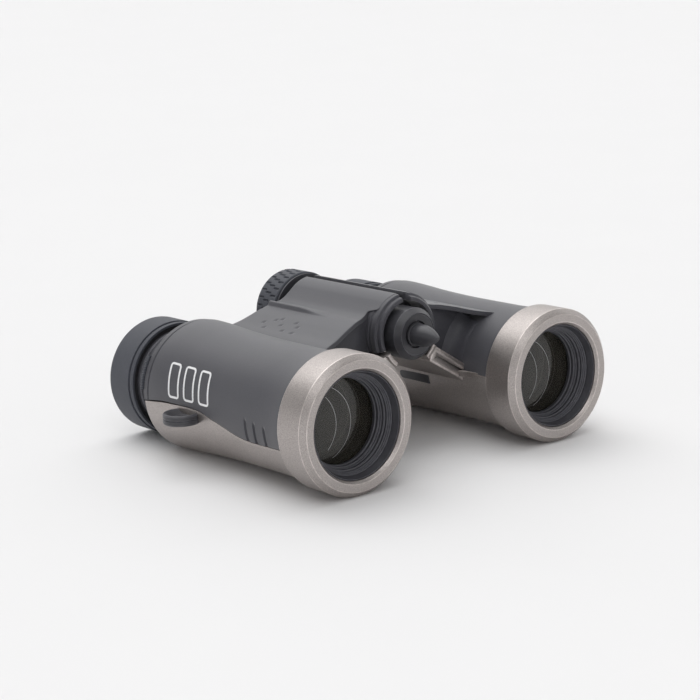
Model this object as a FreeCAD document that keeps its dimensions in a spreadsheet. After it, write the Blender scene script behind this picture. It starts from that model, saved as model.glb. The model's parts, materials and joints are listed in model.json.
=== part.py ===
import FreeCAD, Part

import math
import os

import Sketcher
from FreeCAD import Placement, Rotation, Vector

# Compact roof-prism binoculars with a centre hinge, a focus wheel and twist-up eyecups.
#
# Frame: +X to the user's left, +Y from the objectives to the eyecups, +Z up, in millimetres.
# The origin is under the middle of the object, on the surface that it stands on.
# A station is a distance behind the front faces of the objective rings.
# The right half carries the hinge tube, and the left half turns about it.

# Driving sizes. Lengths in millimetres, angles in degrees.
DRIVING_SIZES = {
    "overall_length": 84.6,
    "eye_spacing": 66.08,
    "hinge_rise": 14.09,
    "clear_aperture": 21.0,
    # objective end
    "ring_length": 9.8,
    "ring_chamfer": 1.4,
    "ring_lip": 2.6,
    "mouth_chamfer": 0.7,
    "neck_front": 3.0,
    # barrel shells
    "shell_wall": 1.3,
    "end_wall": 1.5,
    "seam_gap": 0.15,
    # hub and arms
    "cover_front": 20.2,
    "strut_front": 19.0,
    "arm_wall": 1.7,
    "arm_front_wall": 25.0,
    "top_gap": 2.5,
    "bottom_gap_angle": 71.0,
    # hinge
    "tube_radius": 5.5,
    "tube_front": 18.6,
    "knuckle_start": 34.0,
    "knuckle_length": 3.8,
    "knuckle_gap": 0.9,
    "washer_thickness": 0.3,
    "running_gap": 0.05,
    # nose
    "nose_front": 16.4,
    "cone_radius": 2.8,
    "cone_front": 8.3,
    "stud_radius": 1.45,
    # focus drive
    "spindle_radius": 2.0,
    "nut_front": 27.5,
    "focus_travel": 1.5,
    "arm_plate_height": 3.0,
    "wheel_width": 8.7,
    "wheel_ribs": 30.0,
    # optics
    "cell_wall": 1.9,
    "prism_width": 13.0,
    # eyecup
    "eyecup_wall": 1.05,
    # dioptre ring
    "dioptre_thickness": 0.8,
    # strap lugs and case screws
    "lug_radius": 4.65,
    "lug_thickness": 2.7,
    "lug_bore": 1.6,
    "lug_station": 47.5,
    "lug_drop": 2.5,
    "screw_head_radius": 1.6,
    "screw_radius": 0.8,
}

SHEET_NAME = "Sizes"
RIGHT, LEFT = -1, 1
SIDES = {"right": RIGHT, "left": LEFT}


class Size:
    """A length that carries its value and the spreadsheet formula that gives it."""

    def __init__(self, value, formula):
        self.value = float(value)
        self.formula = formula

    def __float__(self):
        return self.value

    def _with(self, other, sign, value):
        formula = other.formula if isinstance(other, Size) else repr(float(other))
        return Size(value, f"({self.formula} {sign} {formula})")

    def __add__(self, other):
        return self._with(other, "+", self.value + float(other))

    def __sub__(self, other):
        return self._with(other, "-", self.value - float(other))

    def __mul__(self, other):
        return self._with(other, "*", self.value * float(other))

    def __truediv__(self, other):
        return self._with(other, "/", self.value / float(other))

    def __neg__(self):
        return Size(-self.value, f"(-1 * {self.formula})")


class Sheet:
    """The driving sizes, read as attributes."""

    def __init__(self, doc):
        self.page = doc.addObject("Spreadsheet::Sheet", SHEET_NAME)
        for row, (alias, value) in enumerate(DRIVING_SIZES.items(), start=1):
            self.page.set(f"A{row}", alias)
            self.page.set(f"B{row}", str(value))
            self.page.setAlias(f"B{row}", alias)
        doc.recompute()

    def __getattr__(self, alias):
        return Size(self.page.get(alias), f"{SHEET_NAME}.{alias}")


DOC = FreeCAD.newDocument("Binoculars")
S = Sheet(DOC)

# Sizes that follow from the driving ones. The added numbers are walls and clearances.
# barrel and rings, outwards from the clear aperture
S.waist_radius = S.clear_aperture / 2 + 5.3
S.ring_radius = S.waist_radius + 1.4
S.front_radius = S.waist_radius + 0.7
S.rear_radius = S.waist_radius + 1.2
S.neck_radius = S.waist_radius - 0.2
S.mouth_radius = S.neck_radius - 2.4
S.lug_reach = S.waist_radius + 2.16
# what fits inside the shells
S.cell_radius = S.waist_radius - S.shell_wall - 0.3
S.lens_edge_radius = S.cell_radius - S.cell_wall - 0.1
S.chassis_radius = S.waist_radius - S.shell_wall - 0.3
S.chassis_bore = S.chassis_radius - 1.1
S.focus_cell_radius = S.chassis_bore - 0.5
S.focus_lens_radius = S.focus_cell_radius - 1.3
# eyepiece, inwards from the chassis, and the eyecup round it
S.guide_radius = S.chassis_bore - 0.1
S.guide_bore = S.guide_radius - 0.65
S.carrier_bore = S.guide_bore - 0.9
S.ocular_radius = S.carrier_bore - 0.45
S.ocular_lens_radius = S.ocular_radius - 1.6
S.eyecup_radius = S.guide_radius + 2.0
S.eyecup_mouth = S.guide_bore - 1.15
S.dioptre_radius = S.guide_radius + 1.2
# stations counted from the rear end
S.body_length = S.overall_length - 19.1
S.guide_rear = S.overall_length - 9.2
S.eyecup_front = S.overall_length - 10.65
S.hub_rear = S.body_length - 7.0
S.tube_rear = S.hub_rear + 2.2
S.wheel_front = S.tube_rear + 0.5
S.wheel_rear = S.wheel_front + S.wheel_width
# hinge, outwards and inwards from its tube
S.knuckle_radius = S.tube_radius + 1.8
S.hub_bore = S.knuckle_radius + 0.6
S.wrap_radius = S.hub_bore + 1.65
S.cover_radius = S.hub_bore + 2.05
S.nose_radius = S.tube_radius + 1.1
S.nose_rim_radius = S.nose_radius - 1.2
S.wheel_radius = S.cover_radius + 0.5
S.wheel_core_radius = S.wheel_radius - 1.25
S.tube_bore = S.tube_radius - 1.2
S.nut_radius = S.tube_bore - 0.1
S.nut_groove_radius = S.nut_radius - 1.3

BARREL_HEIGHT = S.ring_radius
HINGE_HEIGHT = S.ring_radius + S.hinge_rise
HALF_SPACING = S.eye_spacing / 2
HALF_LENGTH = S.overall_length / 2
ARM_ANGLE = math.degrees(math.atan2(float(S.hinge_rise), float(HALF_SPACING)))
ARM_REACH = math.hypot(float(S.hinge_rise), float(HALF_SPACING))


# ---------------------------------------------------------------- turned pieces

def origin_plane(body, role):
    """The origin plane or axis of a body that has this role."""
    for feature in body.Origin.OriginFeatures:
        if feature.Role == role:
            return feature
    raise ValueError(f"{body.Label} has no {role}")


def new_body(label, x, z):
    """An empty body whose local Y axis is a barrel's axis or the hinge's, with stations along it."""
    body = DOC.addObject("PartDesign::Body", label)
    body.Label = label
    body.Placement = Placement(Vector(float(x), -float(HALF_LENGTH), float(z)), Rotation())
    for name, size in (("x", x), ("z", z)):
        if isinstance(size, Size):
            body.setExpression(f"Placement.Base.{name}", size.formula)
    body.setExpression("Placement.Base.y", (-HALF_LENGTH).formula)
    return body


def barrel_body(label, side):
    return new_body(label, HALF_SPACING * side, BARREL_HEIGHT)


def hinge_body(label):
    return new_body(label, 0, HINGE_HEIGHT)


def new_sketch(body, name, role="XY_Plane"):
    sketch = body.newObject("Sketcher::SketchObject", f"{body.Name}_{name}")
    sketch.AttachmentSupport = [(origin_plane(body, role), "")]
    sketch.MapMode = "FlatFace"
    return sketch


def arc_between(start, end, centre_station):
    """The arc from start to end whose centre is on the axis, or at a station of its own."""
    (r1, y1), (r2, y2) = start, end
    if centre_station == "axis":
        centre_r = 0.0
        centre_y = (r1 ** 2 + y1 ** 2 - r2 ** 2 - y2 ** 2) / (2 * (y1 - y2))
    else:
        centre_y = float(centre_station)
        centre_r = (r1 ** 2 - r2 ** 2 + (y1 - centre_y) ** 2 - (y2 - centre_y) ** 2) / (2 * (r1 - r2))
    centre = Vector(centre_r, centre_y, 0)
    radius = math.hypot(r1 - centre_r, y1 - centre_y)
    middle = Vector((r1 + r2) / 2, (y1 + y2) / 2, 0) - centre
    middle = centre + middle.normalize() * radius
    return Part.Arc(Vector(r1, y1, 0), middle, Vector(r2, y2, 0))


def draw_outline(sketch, corners):
    """Draws a closed outline of (station, radius) corners and ties every corner to the sheet.

    A corner may have a third entry, for an arc from it to the next corner: "axis" puts the arc's
    centre on the axis of turning, and a size puts it at that station.
    """
    points = [(float(corner[1]), float(corner[0])) for corner in corners]
    edges = []
    for index, corner in enumerate(corners):
        start = points[index]
        end = points[(index + 1) % len(points)]
        if len(corner) > 2:
            curve = arc_between(start, end, corner[2])
        else:
            curve = Part.LineSegment(Vector(*start, 0), Vector(*end, 0))
        edges.append(sketch.addGeometry(curve, False))

    def end_number(edge, point):
        first = sketch.getPoint(edge, 1)
        return 1 if math.hypot(first.x - point[0], first.y - point[1]) < 1e-6 else 2

    for index, corner in enumerate(corners):
        edge = edges[index]
        before = edges[index - 1]
        end = end_number(edge, points[index])
        sketch.addConstraint(
            Sketcher.Constraint("Coincident", before, end_number(before, points[index]), edge, end))
        station, radius = corner[0], corner[1]
        if float(radius) == 0:
            sketch.addConstraint(Sketcher.Constraint("PointOnObject", edge, end, -2))
        else:
            tie(sketch, "DistanceX", edge, end, radius)
        tie(sketch, "DistanceY", edge, end, station)
        if len(corner) > 2 and isinstance(corner[2], Size):
            tie(sketch, "DistanceY", edge, 3, corner[2])
        elif len(corner) > 2:
            sketch.addConstraint(Sketcher.Constraint("PointOnObject", edge, 3, -2))


def tie(sketch, kind, edge, end, size):
    """Constrains a point's distance from the sketch's origin and binds it to the sheet."""
    index = sketch.addConstraint(Sketcher.Constraint(kind, -1, 1, edge, end, float(size)))
    if isinstance(size, Size):
        sketch.setExpression(f"Constraints[{index}]", size.formula)


def turn(body, corners, name="outline"):
    """Revolves an outline about the body's Y axis."""
    sketch = new_sketch(body, name)
    draw_outline(sketch, corners)
    DOC.recompute()
    feature = body.newObject("PartDesign::Revolution", f"{body.Name}_turned")
    feature.Profile = sketch
    feature.ReferenceAxis = (sketch, ["V_Axis"])
    feature.Angle = 360
    return body


def tube_outline(front, rear, bore, radius):
    return [(front, bore), (front, radius), (rear, radius), (rear, bore)]


# ---------------------------------------------------------------- objective end

def objective_ring(label, side):
    """Painted ring screwed over the neck of the shells."""
    ring_rear = S.ring_length
    sleeve_bore = S.neck_radius + S.running_gap
    return turn(barrel_body(label, side), [
        (Size(0, "0"), S.mouth_radius + S.mouth_chamfer),
        (Size(0, "0"), S.ring_radius - S.ring_chamfer),
        (S.ring_chamfer, S.ring_radius),
        (ring_rear, S.ring_radius),
        (ring_rear, sleeve_bore),
        (S.ring_lip, sleeve_bore),
        (S.ring_lip, S.mouth_radius),
        (S.mouth_chamfer, S.mouth_radius),
    ])


RETAINER_REAR = S.ring_lip + 5.4
BAFFLE_STEPS = 3


def objective_retainer(label, side):
    """Black ring in the mouth, stepped down to the clear aperture to trap stray light."""
    step_depth = (RETAINER_REAR - 1.0 - S.mouth_chamfer) / (BAFFLE_STEPS + 1)
    aperture_radius = S.clear_aperture / 2
    front_bore = S.mouth_radius - 0.8
    step_height = (front_bore - aperture_radius) / BAFFLE_STEPS
    front = S.mouth_chamfer + 0.3
    lip_clear = S.mouth_radius - 0.2
    outline = [
        (front, front_bore),
        (front, lip_clear),
        (S.ring_lip + 0.15, lip_clear),
        (S.ring_lip + 0.15, S.cell_radius),
        (RETAINER_REAR, S.cell_radius),
        (RETAINER_REAR, aperture_radius),
    ]
    for step in range(BAFFLE_STEPS, 0, -1):
        station = front + step_depth * step
        outline.append((station, front_bore - step_height * step))
        outline.append((station, front_bore - step_height * (step - 1)))
    return turn(barrel_body(label, side), outline)


LENS_FRONT = RETAINER_REAR + 0.1
CROWN_CENTRE_THICKNESS = 4.0
FLINT_THICKNESS = 2.4
FLINT_REAR_SAG = 0.5
OBJECTIVE_SAG = 1.0
LENS_GAP = 0.02


def objective_cell(label, side):
    """Sleeve that holds the two objective lenses against the retainer."""
    front = RETAINER_REAR + 0.05
    lens_rear = LENS_FRONT + CROWN_CENTRE_THICKNESS + FLINT_THICKNESS + FLINT_REAR_SAG
    seat = lens_rear + 0.1
    rear = seat + 2.0
    return turn(barrel_body(label, side), [
        (front, S.cell_radius - S.cell_wall + 0.05),
        (front, S.cell_radius),
        (rear, S.cell_radius),
        (rear, S.clear_aperture / 2),
        (seat, S.clear_aperture / 2),
        (seat, S.cell_radius - S.cell_wall + 0.05),
    ])


def lens(label, side, front, thickness, radius, front_sag, rear_sag):
    """A round lens. A positive sag makes that face bulge, and a negative one hollows it."""
    rear = front + thickness
    axis = Size(0, "0")
    return turn(barrel_body(label, side), [
        (front, axis, "axis"),
        (front + front_sag, radius),
        (rear - rear_sag, radius, "axis"),
        (rear, axis),
    ])


def crown_lens(label, side):
    """Front lens of the objective, which bulges on both faces."""
    edge = S.lens_edge_radius
    return lens(label, side, LENS_FRONT, CROWN_CENTRE_THICKNESS, edge, OBJECTIVE_SAG, OBJECTIVE_SAG)


def flint_lens(label, side):
    """Negative lens behind the crown, a hair's gap from it."""
    front = LENS_FRONT + CROWN_CENTRE_THICKNESS + LENS_GAP
    thickness = FLINT_THICKNESS - LENS_GAP
    return lens(label, side, front, thickness, S.lens_edge_radius, -OBJECTIVE_SAG, -FLINT_REAR_SAG)


# ---------------------------------------------------------------- focusing lens

FOCUS_CELL_FRONT = S.nut_front - 6.5
FOCUS_CELL_REAR = S.nut_front + 4.0


def focus_cell(label, side):
    seat = FOCUS_CELL_FRONT + 3.0
    seat_bore = S.focus_lens_radius + 0.1
    return turn(barrel_body(label, side), [
        (FOCUS_CELL_FRONT, S.focus_lens_radius - 1.1),
        (FOCUS_CELL_FRONT, S.focus_cell_radius),
        (FOCUS_CELL_REAR, S.focus_cell_radius),
        (FOCUS_CELL_REAR, seat_bore),
        (seat, seat_bore),
        (seat, S.focus_lens_radius - 1.1),
    ])


def focus_lens(label, side):
    front = FOCUS_CELL_FRONT + 3.1
    return lens(label, side, front, 2.6, S.focus_lens_radius, 0.6, -0.5)


# ---------------------------------------------------------------- eyepiece

OCULAR_FRONT = S.guide_rear - 19.5
OCULAR_REAR = S.guide_rear - 0.2
GUIDE_FRONT = OCULAR_FRONT - 0.9
CARRIER_FRONT = S.eyecup_front - 9.0
CARRIER_REAR = S.overall_length - 1.5


def eyecup_guide(label, side):
    """Tube behind the body that the eyecup slides on and that holds the ocular."""
    flange_rear = GUIDE_FRONT + 4.0
    return turn(barrel_body(label, side), [
        (GUIDE_FRONT, S.guide_bore),
        (GUIDE_FRONT, S.chassis_bore),
        (flange_rear, S.chassis_bore),
        (flange_rear, S.guide_radius),
        (S.guide_rear, S.guide_radius),
        (S.guide_rear, S.guide_bore),
    ])


def ocular_cell(label, side):
    """Lens sleeve with a flange at its front that slides in the guide tube."""
    flange_rear = OCULAR_FRONT + 1.0
    lens_bore = S.ocular_lens_radius + 0.1
    lip_bore = S.ocular_lens_radius - 0.8
    return turn(barrel_body(label, side), [
        (OCULAR_FRONT, lens_bore),
        (OCULAR_FRONT, S.guide_bore - S.running_gap),
        (flange_rear, S.guide_bore - S.running_gap),
        (flange_rear, S.ocular_radius),
        (OCULAR_REAR, S.ocular_radius),
        (OCULAR_REAR, lip_bore),
        (OCULAR_REAR - 0.9, lip_bore),
        (OCULAR_REAR - 0.9, lens_bore),
    ])


def field_lens(label, side):
    return lens(label, side, OCULAR_FRONT + 3.0, 3.4, S.ocular_lens_radius, 0.4, 1.0)


def eye_lens(label, side):
    return lens(label, side, OCULAR_REAR - 5.6, 4.4, S.ocular_lens_radius, 1.0, 0.5)


def eyecup_carrier(label, side):
    """Sleeve that slides without turning inside the guide tube."""
    outline = tube_outline(CARRIER_FRONT, CARRIER_REAR, S.carrier_bore, S.guide_bore - S.running_gap)
    return turn(barrel_body(label, side), outline)


def eyecup_core(label, side):
    """Stiff sleeve inside the rubber, which turns on the carrier and over the guide tube."""
    front = S.eyecup_front + 0.25
    rear = S.overall_length - 1.25
    flange_front = rear - 0.65
    sleeve_bore = S.guide_radius + S.running_gap
    sleeve_radius = S.eyecup_radius - S.eyecup_wall - 0.05
    return turn(barrel_body(label, side), [
        (front, sleeve_bore),
        (front, sleeve_radius),
        (rear, sleeve_radius),
        (rear, S.guide_bore),
        (flange_front, S.guide_bore),
        (flange_front, sleeve_bore),
    ])


def eyecup(label, side):
    """Rubber cup with a thin lip, a shallow groove and the main band."""
    bore = S.eyecup_radius - S.eyecup_wall
    groove_front = S.eyecup_front + 1.25
    groove_rear = groove_front + 0.4
    flange_front = S.overall_length - 1.2
    edge = 0.4
    return turn(barrel_body(label, side), [
        (S.eyecup_front, bore),
        (S.eyecup_front, S.eyecup_radius - 0.45),
        (groove_front, S.eyecup_radius - 0.4),
        (groove_front, S.eyecup_radius - 0.7),
        (groove_rear, S.eyecup_radius - 0.7),
        (groove_rear, S.eyecup_radius),
        (S.overall_length - edge, S.eyecup_radius),
        (S.overall_length, S.eyecup_radius - edge),
        (S.overall_length, S.eyecup_mouth + edge),
        (S.overall_length - edge, S.eyecup_mouth),
        (flange_front, S.eyecup_mouth),
        (flange_front, bore),
    ])


# ---------------------------------------------------------------- hinge and focus drive

KNUCKLE_COUNT = 5
KNUCKLE_PITCH = S.knuckle_length + S.knuckle_gap


def knuckle_front(index):
    return S.knuckle_start + KNUCKLE_PITCH * index


def hinge_tube():
    """Tube through the knuckles, closed round the spindle at its rear."""
    spindle_bore = S.spindle_radius + S.running_gap
    bore_front = S.tube_front + 2.4
    bore_rear = knuckle_front(KNUCKLE_COUNT - 1)
    return [
        (S.tube_front, S.stud_radius),
        (S.tube_front, S.tube_radius),
        (S.tube_rear, S.tube_radius),
        (S.tube_rear, spindle_bore),
        (bore_rear, spindle_bore),
        (bore_rear, S.tube_bore),
        (bore_front, S.tube_bore),
        (bore_front, S.stud_radius),
    ]


def slotted_hinge_tube(label):
    """The hinge tube with a window on each side for the focus arms."""
    body = turn(hinge_body(label), hinge_tube())
    window_front = S.nut_front - S.focus_travel
    window_rear = FOCUS_CELL_REAR + S.focus_travel + 0.5
    right_middle = 180 + ARM_ANGLE
    cut_window(body, "right_window", window_front, window_rear, right_middle - 26, right_middle + 26)
    cut_window(body, "left_window", window_front, window_rear, -76, 12)
    return body


def cut_window(body, name, front, rear, start_angle, end_angle):
    """Cuts a wedge from the axis outwards, between two angles measured from +X towards +Z."""
    reach = float(S.tube_radius) * 2
    middle = (start_angle + end_angle) / 2
    angles = (start_angle, middle, end_angle)
    sketch = new_sketch(body, name, "XZ_Plane")
    corners = [Vector(0, 0, 0)]
    for angle in angles:
        turned = math.radians(angle)
        corners.append(Vector(reach * math.cos(turned), reach * math.sin(turned), 0))
    for index, corner in enumerate(corners):
        sketch.addGeometry(Part.LineSegment(corner, corners[(index + 1) % len(corners)]), False)
    for index in range(len(corners)):
        sketch.addConstraint(Sketcher.Constraint("Coincident", index, 2, (index + 1) % len(corners), 1))
        sketch.addConstraint(Sketcher.Constraint("Block", index))
    sketch.AttachmentOffset = Placement(Vector(0, 0, -float(front)), Rotation())
    sketch.setExpression("AttachmentOffset.Base.z", (-front).formula)
    DOC.recompute()
    pocket = body.newObject("PartDesign::Pocket", f"{body.Name}_{name}_cut")
    pocket.Profile = sketch
    pocket.Length = float(rear - front)
    pocket.setExpression("Length", (rear - front).formula)
    pocket.Reversed = False


def hinge_washers(label):
    """Thin washers between the knuckles, all on the hinge tube."""
    washers = []
    bore = float(S.tube_radius)
    for index in range(KNUCKLE_COUNT - 1):
        gap_centre = knuckle_front(index) + S.knuckle_length + S.knuckle_gap / 2
        front = float(gap_centre - S.washer_thickness / 2)
        washers.append(ring_solid(front, float(S.washer_thickness), bore, float(S.knuckle_radius)))
    return hub_feature(label, Part.makeCompound(washers))


def nose_cap(label):
    """Chamfered cap on the front of the hinge tube, with a dished face."""
    dish = S.nose_front + 1.2
    skirt_rear = S.cover_front + 3.3
    return turn(hinge_body(label), [
        (dish, S.stud_radius),
        (dish, S.nose_rim_radius - 1.0),
        (S.nose_front, S.nose_rim_radius - 0.4),
        (S.nose_front, S.nose_rim_radius),
        (S.nose_front + 2.8, S.nose_radius),
        (skirt_rear, S.nose_radius),
        (skirt_rear, S.tube_radius),
        (S.tube_front, S.tube_radius),
        (S.tube_front, S.stud_radius),
    ])


def nose_cone(label):
    """Pointed screw whose stud holds the nose cap to the hinge tube."""
    shoulder = S.nose_front + 1.2
    straight_front = S.cone_front + 6.7
    tip_flat = Size(0.25, "0.25")
    return turn(hinge_body(label), [
        (S.cone_front, Size(0, "0")),
        (S.cone_front, tip_flat, straight_front),
        (straight_front, S.cone_radius),
        (shoulder, S.cone_radius),
        (shoulder, S.stud_radius),
        (S.tube_front + 2.2, S.stud_radius),
        (S.tube_front + 2.2, Size(0, "0")),
    ])


def focus_spindle(label):
    """Screwed rod that the focus wheel turns."""
    return turn(hinge_body(label), [
        (S.nut_front - 3.0, Size(0, "0")),
        (S.nut_front - 3.0, S.spindle_radius - 0.4),
        (S.nut_front - 2.6, S.spindle_radius),
        (S.wheel_rear - 1.6, S.spindle_radius),
        (S.wheel_rear - 1.6, Size(0, "0")),
    ])


def focus_nut(label):
    """Nut on the spindle, with a groove that holds the left arm's ring."""
    bore = S.spindle_radius + S.running_gap
    groove_front = S.nut_front + 0.9
    groove_rear = groove_front + 1.8
    return turn(hinge_body(label), [
        (S.nut_front, bore),
        (S.nut_front, S.nut_radius),
        (groove_front, S.nut_radius),
        (groove_front, S.nut_groove_radius),
        (groove_rear, S.nut_groove_radius),
        (groove_rear, S.nut_radius),
        (FOCUS_CELL_REAR, S.nut_radius),
        (FOCUS_CELL_REAR, bore),
    ])


def focus_wheel(label):
    """Wheel fixed to the spindle, with a dished rear face and a thin front flange."""
    flange_rear = S.wheel_front + 0.5
    return turn(hinge_body(label), [
        (S.wheel_front, S.spindle_radius),
        (S.wheel_front, S.wheel_radius - 0.35),
        (flange_rear, S.wheel_radius - 0.35),
        (flange_rear, S.wheel_core_radius),
        (S.wheel_rear - 0.6, S.wheel_core_radius),
        (S.wheel_rear - 0.6, S.wheel_core_radius - 0.9),
        (S.wheel_rear - 1.6, S.wheel_core_radius - 1.2),
        (S.wheel_rear - 1.6, S.spindle_radius),
    ])


def wheel_grip(label):
    """Rubber band round the wheel, with ribs made by a ring of shallow notches."""
    body = hinge_body(label)
    front = S.wheel_front + 0.5
    rear_edge = 0.6
    turn(body, [
        (front, S.wheel_core_radius),
        (front, S.wheel_radius),
        (S.wheel_rear - rear_edge, S.wheel_radius),
        (S.wheel_rear, S.wheel_radius - rear_edge),
        (S.wheel_rear, S.wheel_core_radius - 0.7),
        (S.wheel_rear - rear_edge, S.wheel_core_radius - 0.7),
        (S.wheel_rear - rear_edge, S.wheel_core_radius),
    ])
    sketch = new_sketch(body, "notch")
    notch_depth = 0.3
    draw_outline(sketch, [
        (front + 0.9, S.wheel_radius - notch_depth),
        (front + 0.9, S.wheel_radius + 1.0),
        (S.wheel_rear - 1.4, S.wheel_radius + 1.0),
        (S.wheel_rear - 1.4, S.wheel_radius - notch_depth),
    ])
    DOC.recompute()
    notch = body.newObject("PartDesign::Pocket", f"{body.Name}_notch_cut")
    notch.Profile = sketch
    notch.Midplane = True
    notch.Length = 0.6
    DOC.recompute()
    ribs = body.newObject("PartDesign::PolarPattern", f"{body.Name}_ribs")
    ribs.Originals = [notch]
    ribs.Axis = (origin_plane(body, "Y_Axis"), [""])
    ribs.Angle = 360
    ribs.Occurrences = int(float(S.wheel_ribs))
    ribs.setExpression("Occurrences", S.wheel_ribs.formula)
    body.Tip = ribs
    return body


def wheel_cap(label):
    """Disc that covers the end of the spindle."""
    front = S.wheel_rear - 1.55
    return turn(hinge_body(label), [
        (front, Size(0, "0")),
        (front, S.wheel_core_radius - 1.6),
        (S.wheel_rear - 0.9, S.wheel_core_radius - 1.6),
        (S.wheel_rear - 0.6, S.wheel_core_radius - 1.9),
        (S.wheel_rear - 0.6, Size(0, "0")),
    ])


# ---------------------------------------------------------------- shapes for the cast pieces

def hub_feature(label, shape):
    """A sub-part whose shape is drawn round the hinge axis."""
    feature = DOC.addObject("Part::Feature", label)
    feature.Label = label
    feature.Shape = shape
    feature.Placement = Placement(Vector(0, -float(HALF_LENGTH), float(HINGE_HEIGHT)), Rotation())
    return feature


def frame_feature(label, shape):
    """A sub-part whose shape is drawn with X and Z in the frame and Y as the station."""
    feature = DOC.addObject("Part::Feature", label)
    feature.Label = label
    feature.Shape = shape
    feature.Placement = Placement(Vector(0, -float(HALF_LENGTH), 0), Rotation())
    return feature


def cylinder(front, length, radius, x=0.0, z=0.0):
    return Part.makeCylinder(radius, length, Vector(x, front, z), Vector(0, 1, 0))


def ring_solid(front, length, bore, radius, x=0.0, z=0.0):
    return cylinder(front, length, radius, x, z).cut(cylinder(front - 1, length + 2, bore, x, z))


def prism_along_y(corners, front, rear):
    """A prism from a closed outline of edges or (x, z) corners, between two stations."""
    points = [Vector(x, front, z) for x, z in corners]
    face = Part.Face(Part.makePolygon(points + points[:1]))
    return face.extrude(Vector(0, rear - front, 0))


def mirrored(shape):
    return shape.mirror(Vector(0, 0, 0), Vector(1, 0, 0))


def for_side(shape, side):
    """Shapes are drawn for the left half, which is on the +X side."""
    return shape if side == LEFT else mirrored(shape)


# ---------------------------------------------------------------- shells

def barrel_outline_points(inset=0.0):
    """The barrel's gently waisted outside, as (radius, station) points for one smooth curve."""
    ring_rear = float(S.ring_length)
    rear = float(S.body_length)
    reach = rear - ring_rear
    front_radius = float(S.front_radius)
    waist = float(S.waist_radius)
    rear_radius = float(S.rear_radius)
    swell = rear_radius - waist
    profile = [
        (0.0, front_radius),
        (0.11, waist + 0.12),
        (0.29, waist),
        (0.54, waist + 0.09 * swell),
        (0.72, waist + 0.42 * swell),
        (0.9, waist + 0.9 * swell),
        (1.0, rear_radius),
    ]
    return [(radius - inset, ring_rear + share * reach) for share, radius in profile]


def turned_solid(curve_points, front, front_radius, rear, rear_radius):
    """Revolves the smooth outline, closed by straight ends, about the barrel's axis."""
    curve = Part.BSplineCurve()
    curve.interpolate([Vector(radius, station, 0) for radius, station in curve_points])
    first_radius, first_station = curve_points[0]
    last_radius, last_station = curve_points[-1]
    corners = [
        Vector(last_radius, last_station, 0),
        Vector(rear_radius, last_station, 0),
        Vector(rear_radius, rear, 0),
        Vector(0, rear, 0),
        Vector(0, front, 0),
        Vector(front_radius, front, 0),
        Vector(front_radius, first_station, 0),
        Vector(first_radius, first_station, 0),
    ]
    edges = [curve.toShape()]
    for start, end in zip(corners, corners[1:]):
        if start.distanceToPoint(end) > 1e-6:
            edges.append(Part.makeLine(start, end))
    face = Part.Face(Part.Wire(Part.__sortEdges__(edges)))
    solid = face.revolve(Vector(0, 0, 0), Vector(0, 1, 0), 360)
    solid.translate(Vector(float(HALF_SPACING), 0, float(BARREL_HEIGHT)))
    return solid


def barrel_solid():
    neck = float(S.neck_radius)
    body_rear = float(S.body_length)
    return turned_solid(barrel_outline_points(), float(S.neck_front), neck, body_rear, float(S.rear_radius))


def barrel_cavity():
    """The hollow in the barrel, open at the front and bored through the end wall."""
    wall = float(S.shell_wall)
    end_inner = float(S.body_length - S.end_wall)
    points = [point for point in barrel_outline_points(wall) if point[1] < end_inner - 4]
    points.append((float(S.rear_radius) - wall, end_inner))
    hollow = turned_solid(points, 0.0, float(S.neck_radius) - wall, end_inner, float(S.rear_radius) - wall)
    bore = cylinder(
        end_inner - 1, 4.0, float(S.guide_radius + S.running_gap), float(HALF_SPACING), float(BARREL_HEIGHT))
    return hollow.fuse(bore)


def on_circle(centre_x, centre_z, radius, angle):
    """A point on a circle, by its angle from +X towards +Z."""
    turned = math.radians(angle)
    return (centre_x + radius * math.cos(turned), centre_z + radius * math.sin(turned))


def on_hub(radius, angle):
    return on_circle(0.0, float(HINGE_HEIGHT), radius, angle)


def on_barrel(radius, angle):
    return on_circle(float(HALF_SPACING), float(BARREL_HEIGHT), radius, angle)


HUB_CENTRE = (0.0, float(HINGE_HEIGHT))
BARREL_CENTRE = (float(HALF_SPACING), float(BARREL_HEIGHT))


def arm_top_points():
    """The arm's top from the hub cover, through a hollow, to the valley beside the barrel."""
    cover = float(S.cover_radius)
    valley = on_barrel(float(S.waist_radius), 109.4)
    leave_hub = on_hub(cover, 56.0)
    foot = (leave_hub[0] + 5.9, leave_hub[1] - 3.1)
    hollow = (leave_hub[0] + 2.8, leave_hub[1] - 2.25)
    return leave_hub, hollow, foot, valley


def arm_bottom_points():
    """The arm's underside, from the hub wrap to the inner side of the barrel."""
    leave_hub = on_hub(float(S.wrap_radius) - 0.3, -63.0)
    meet_barrel = on_barrel(float(S.waist_radius) + 0.85, 181.7)
    inside_barrel = on_barrel(float(S.waist_radius) - 4.2, 198.0)
    return leave_hub, meet_barrel, inside_barrel


def parting_points():
    """The line between the shells on the inner side, from the hub to the barrel's axis."""
    return [
        (-2.0, HUB_CENTRE[1] - 2.2),
        on_hub(float(S.hub_bore) - 0.6, -30.0),
        on_barrel(float(S.waist_radius) + 2.7, 167.1),
        on_barrel(float(S.waist_radius) - 6.7, 173.0),
        BARREL_CENTRE,
    ]


def lowered(point, drop, shift=0.0):
    return (point[0] + shift, point[1] - drop)


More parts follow.
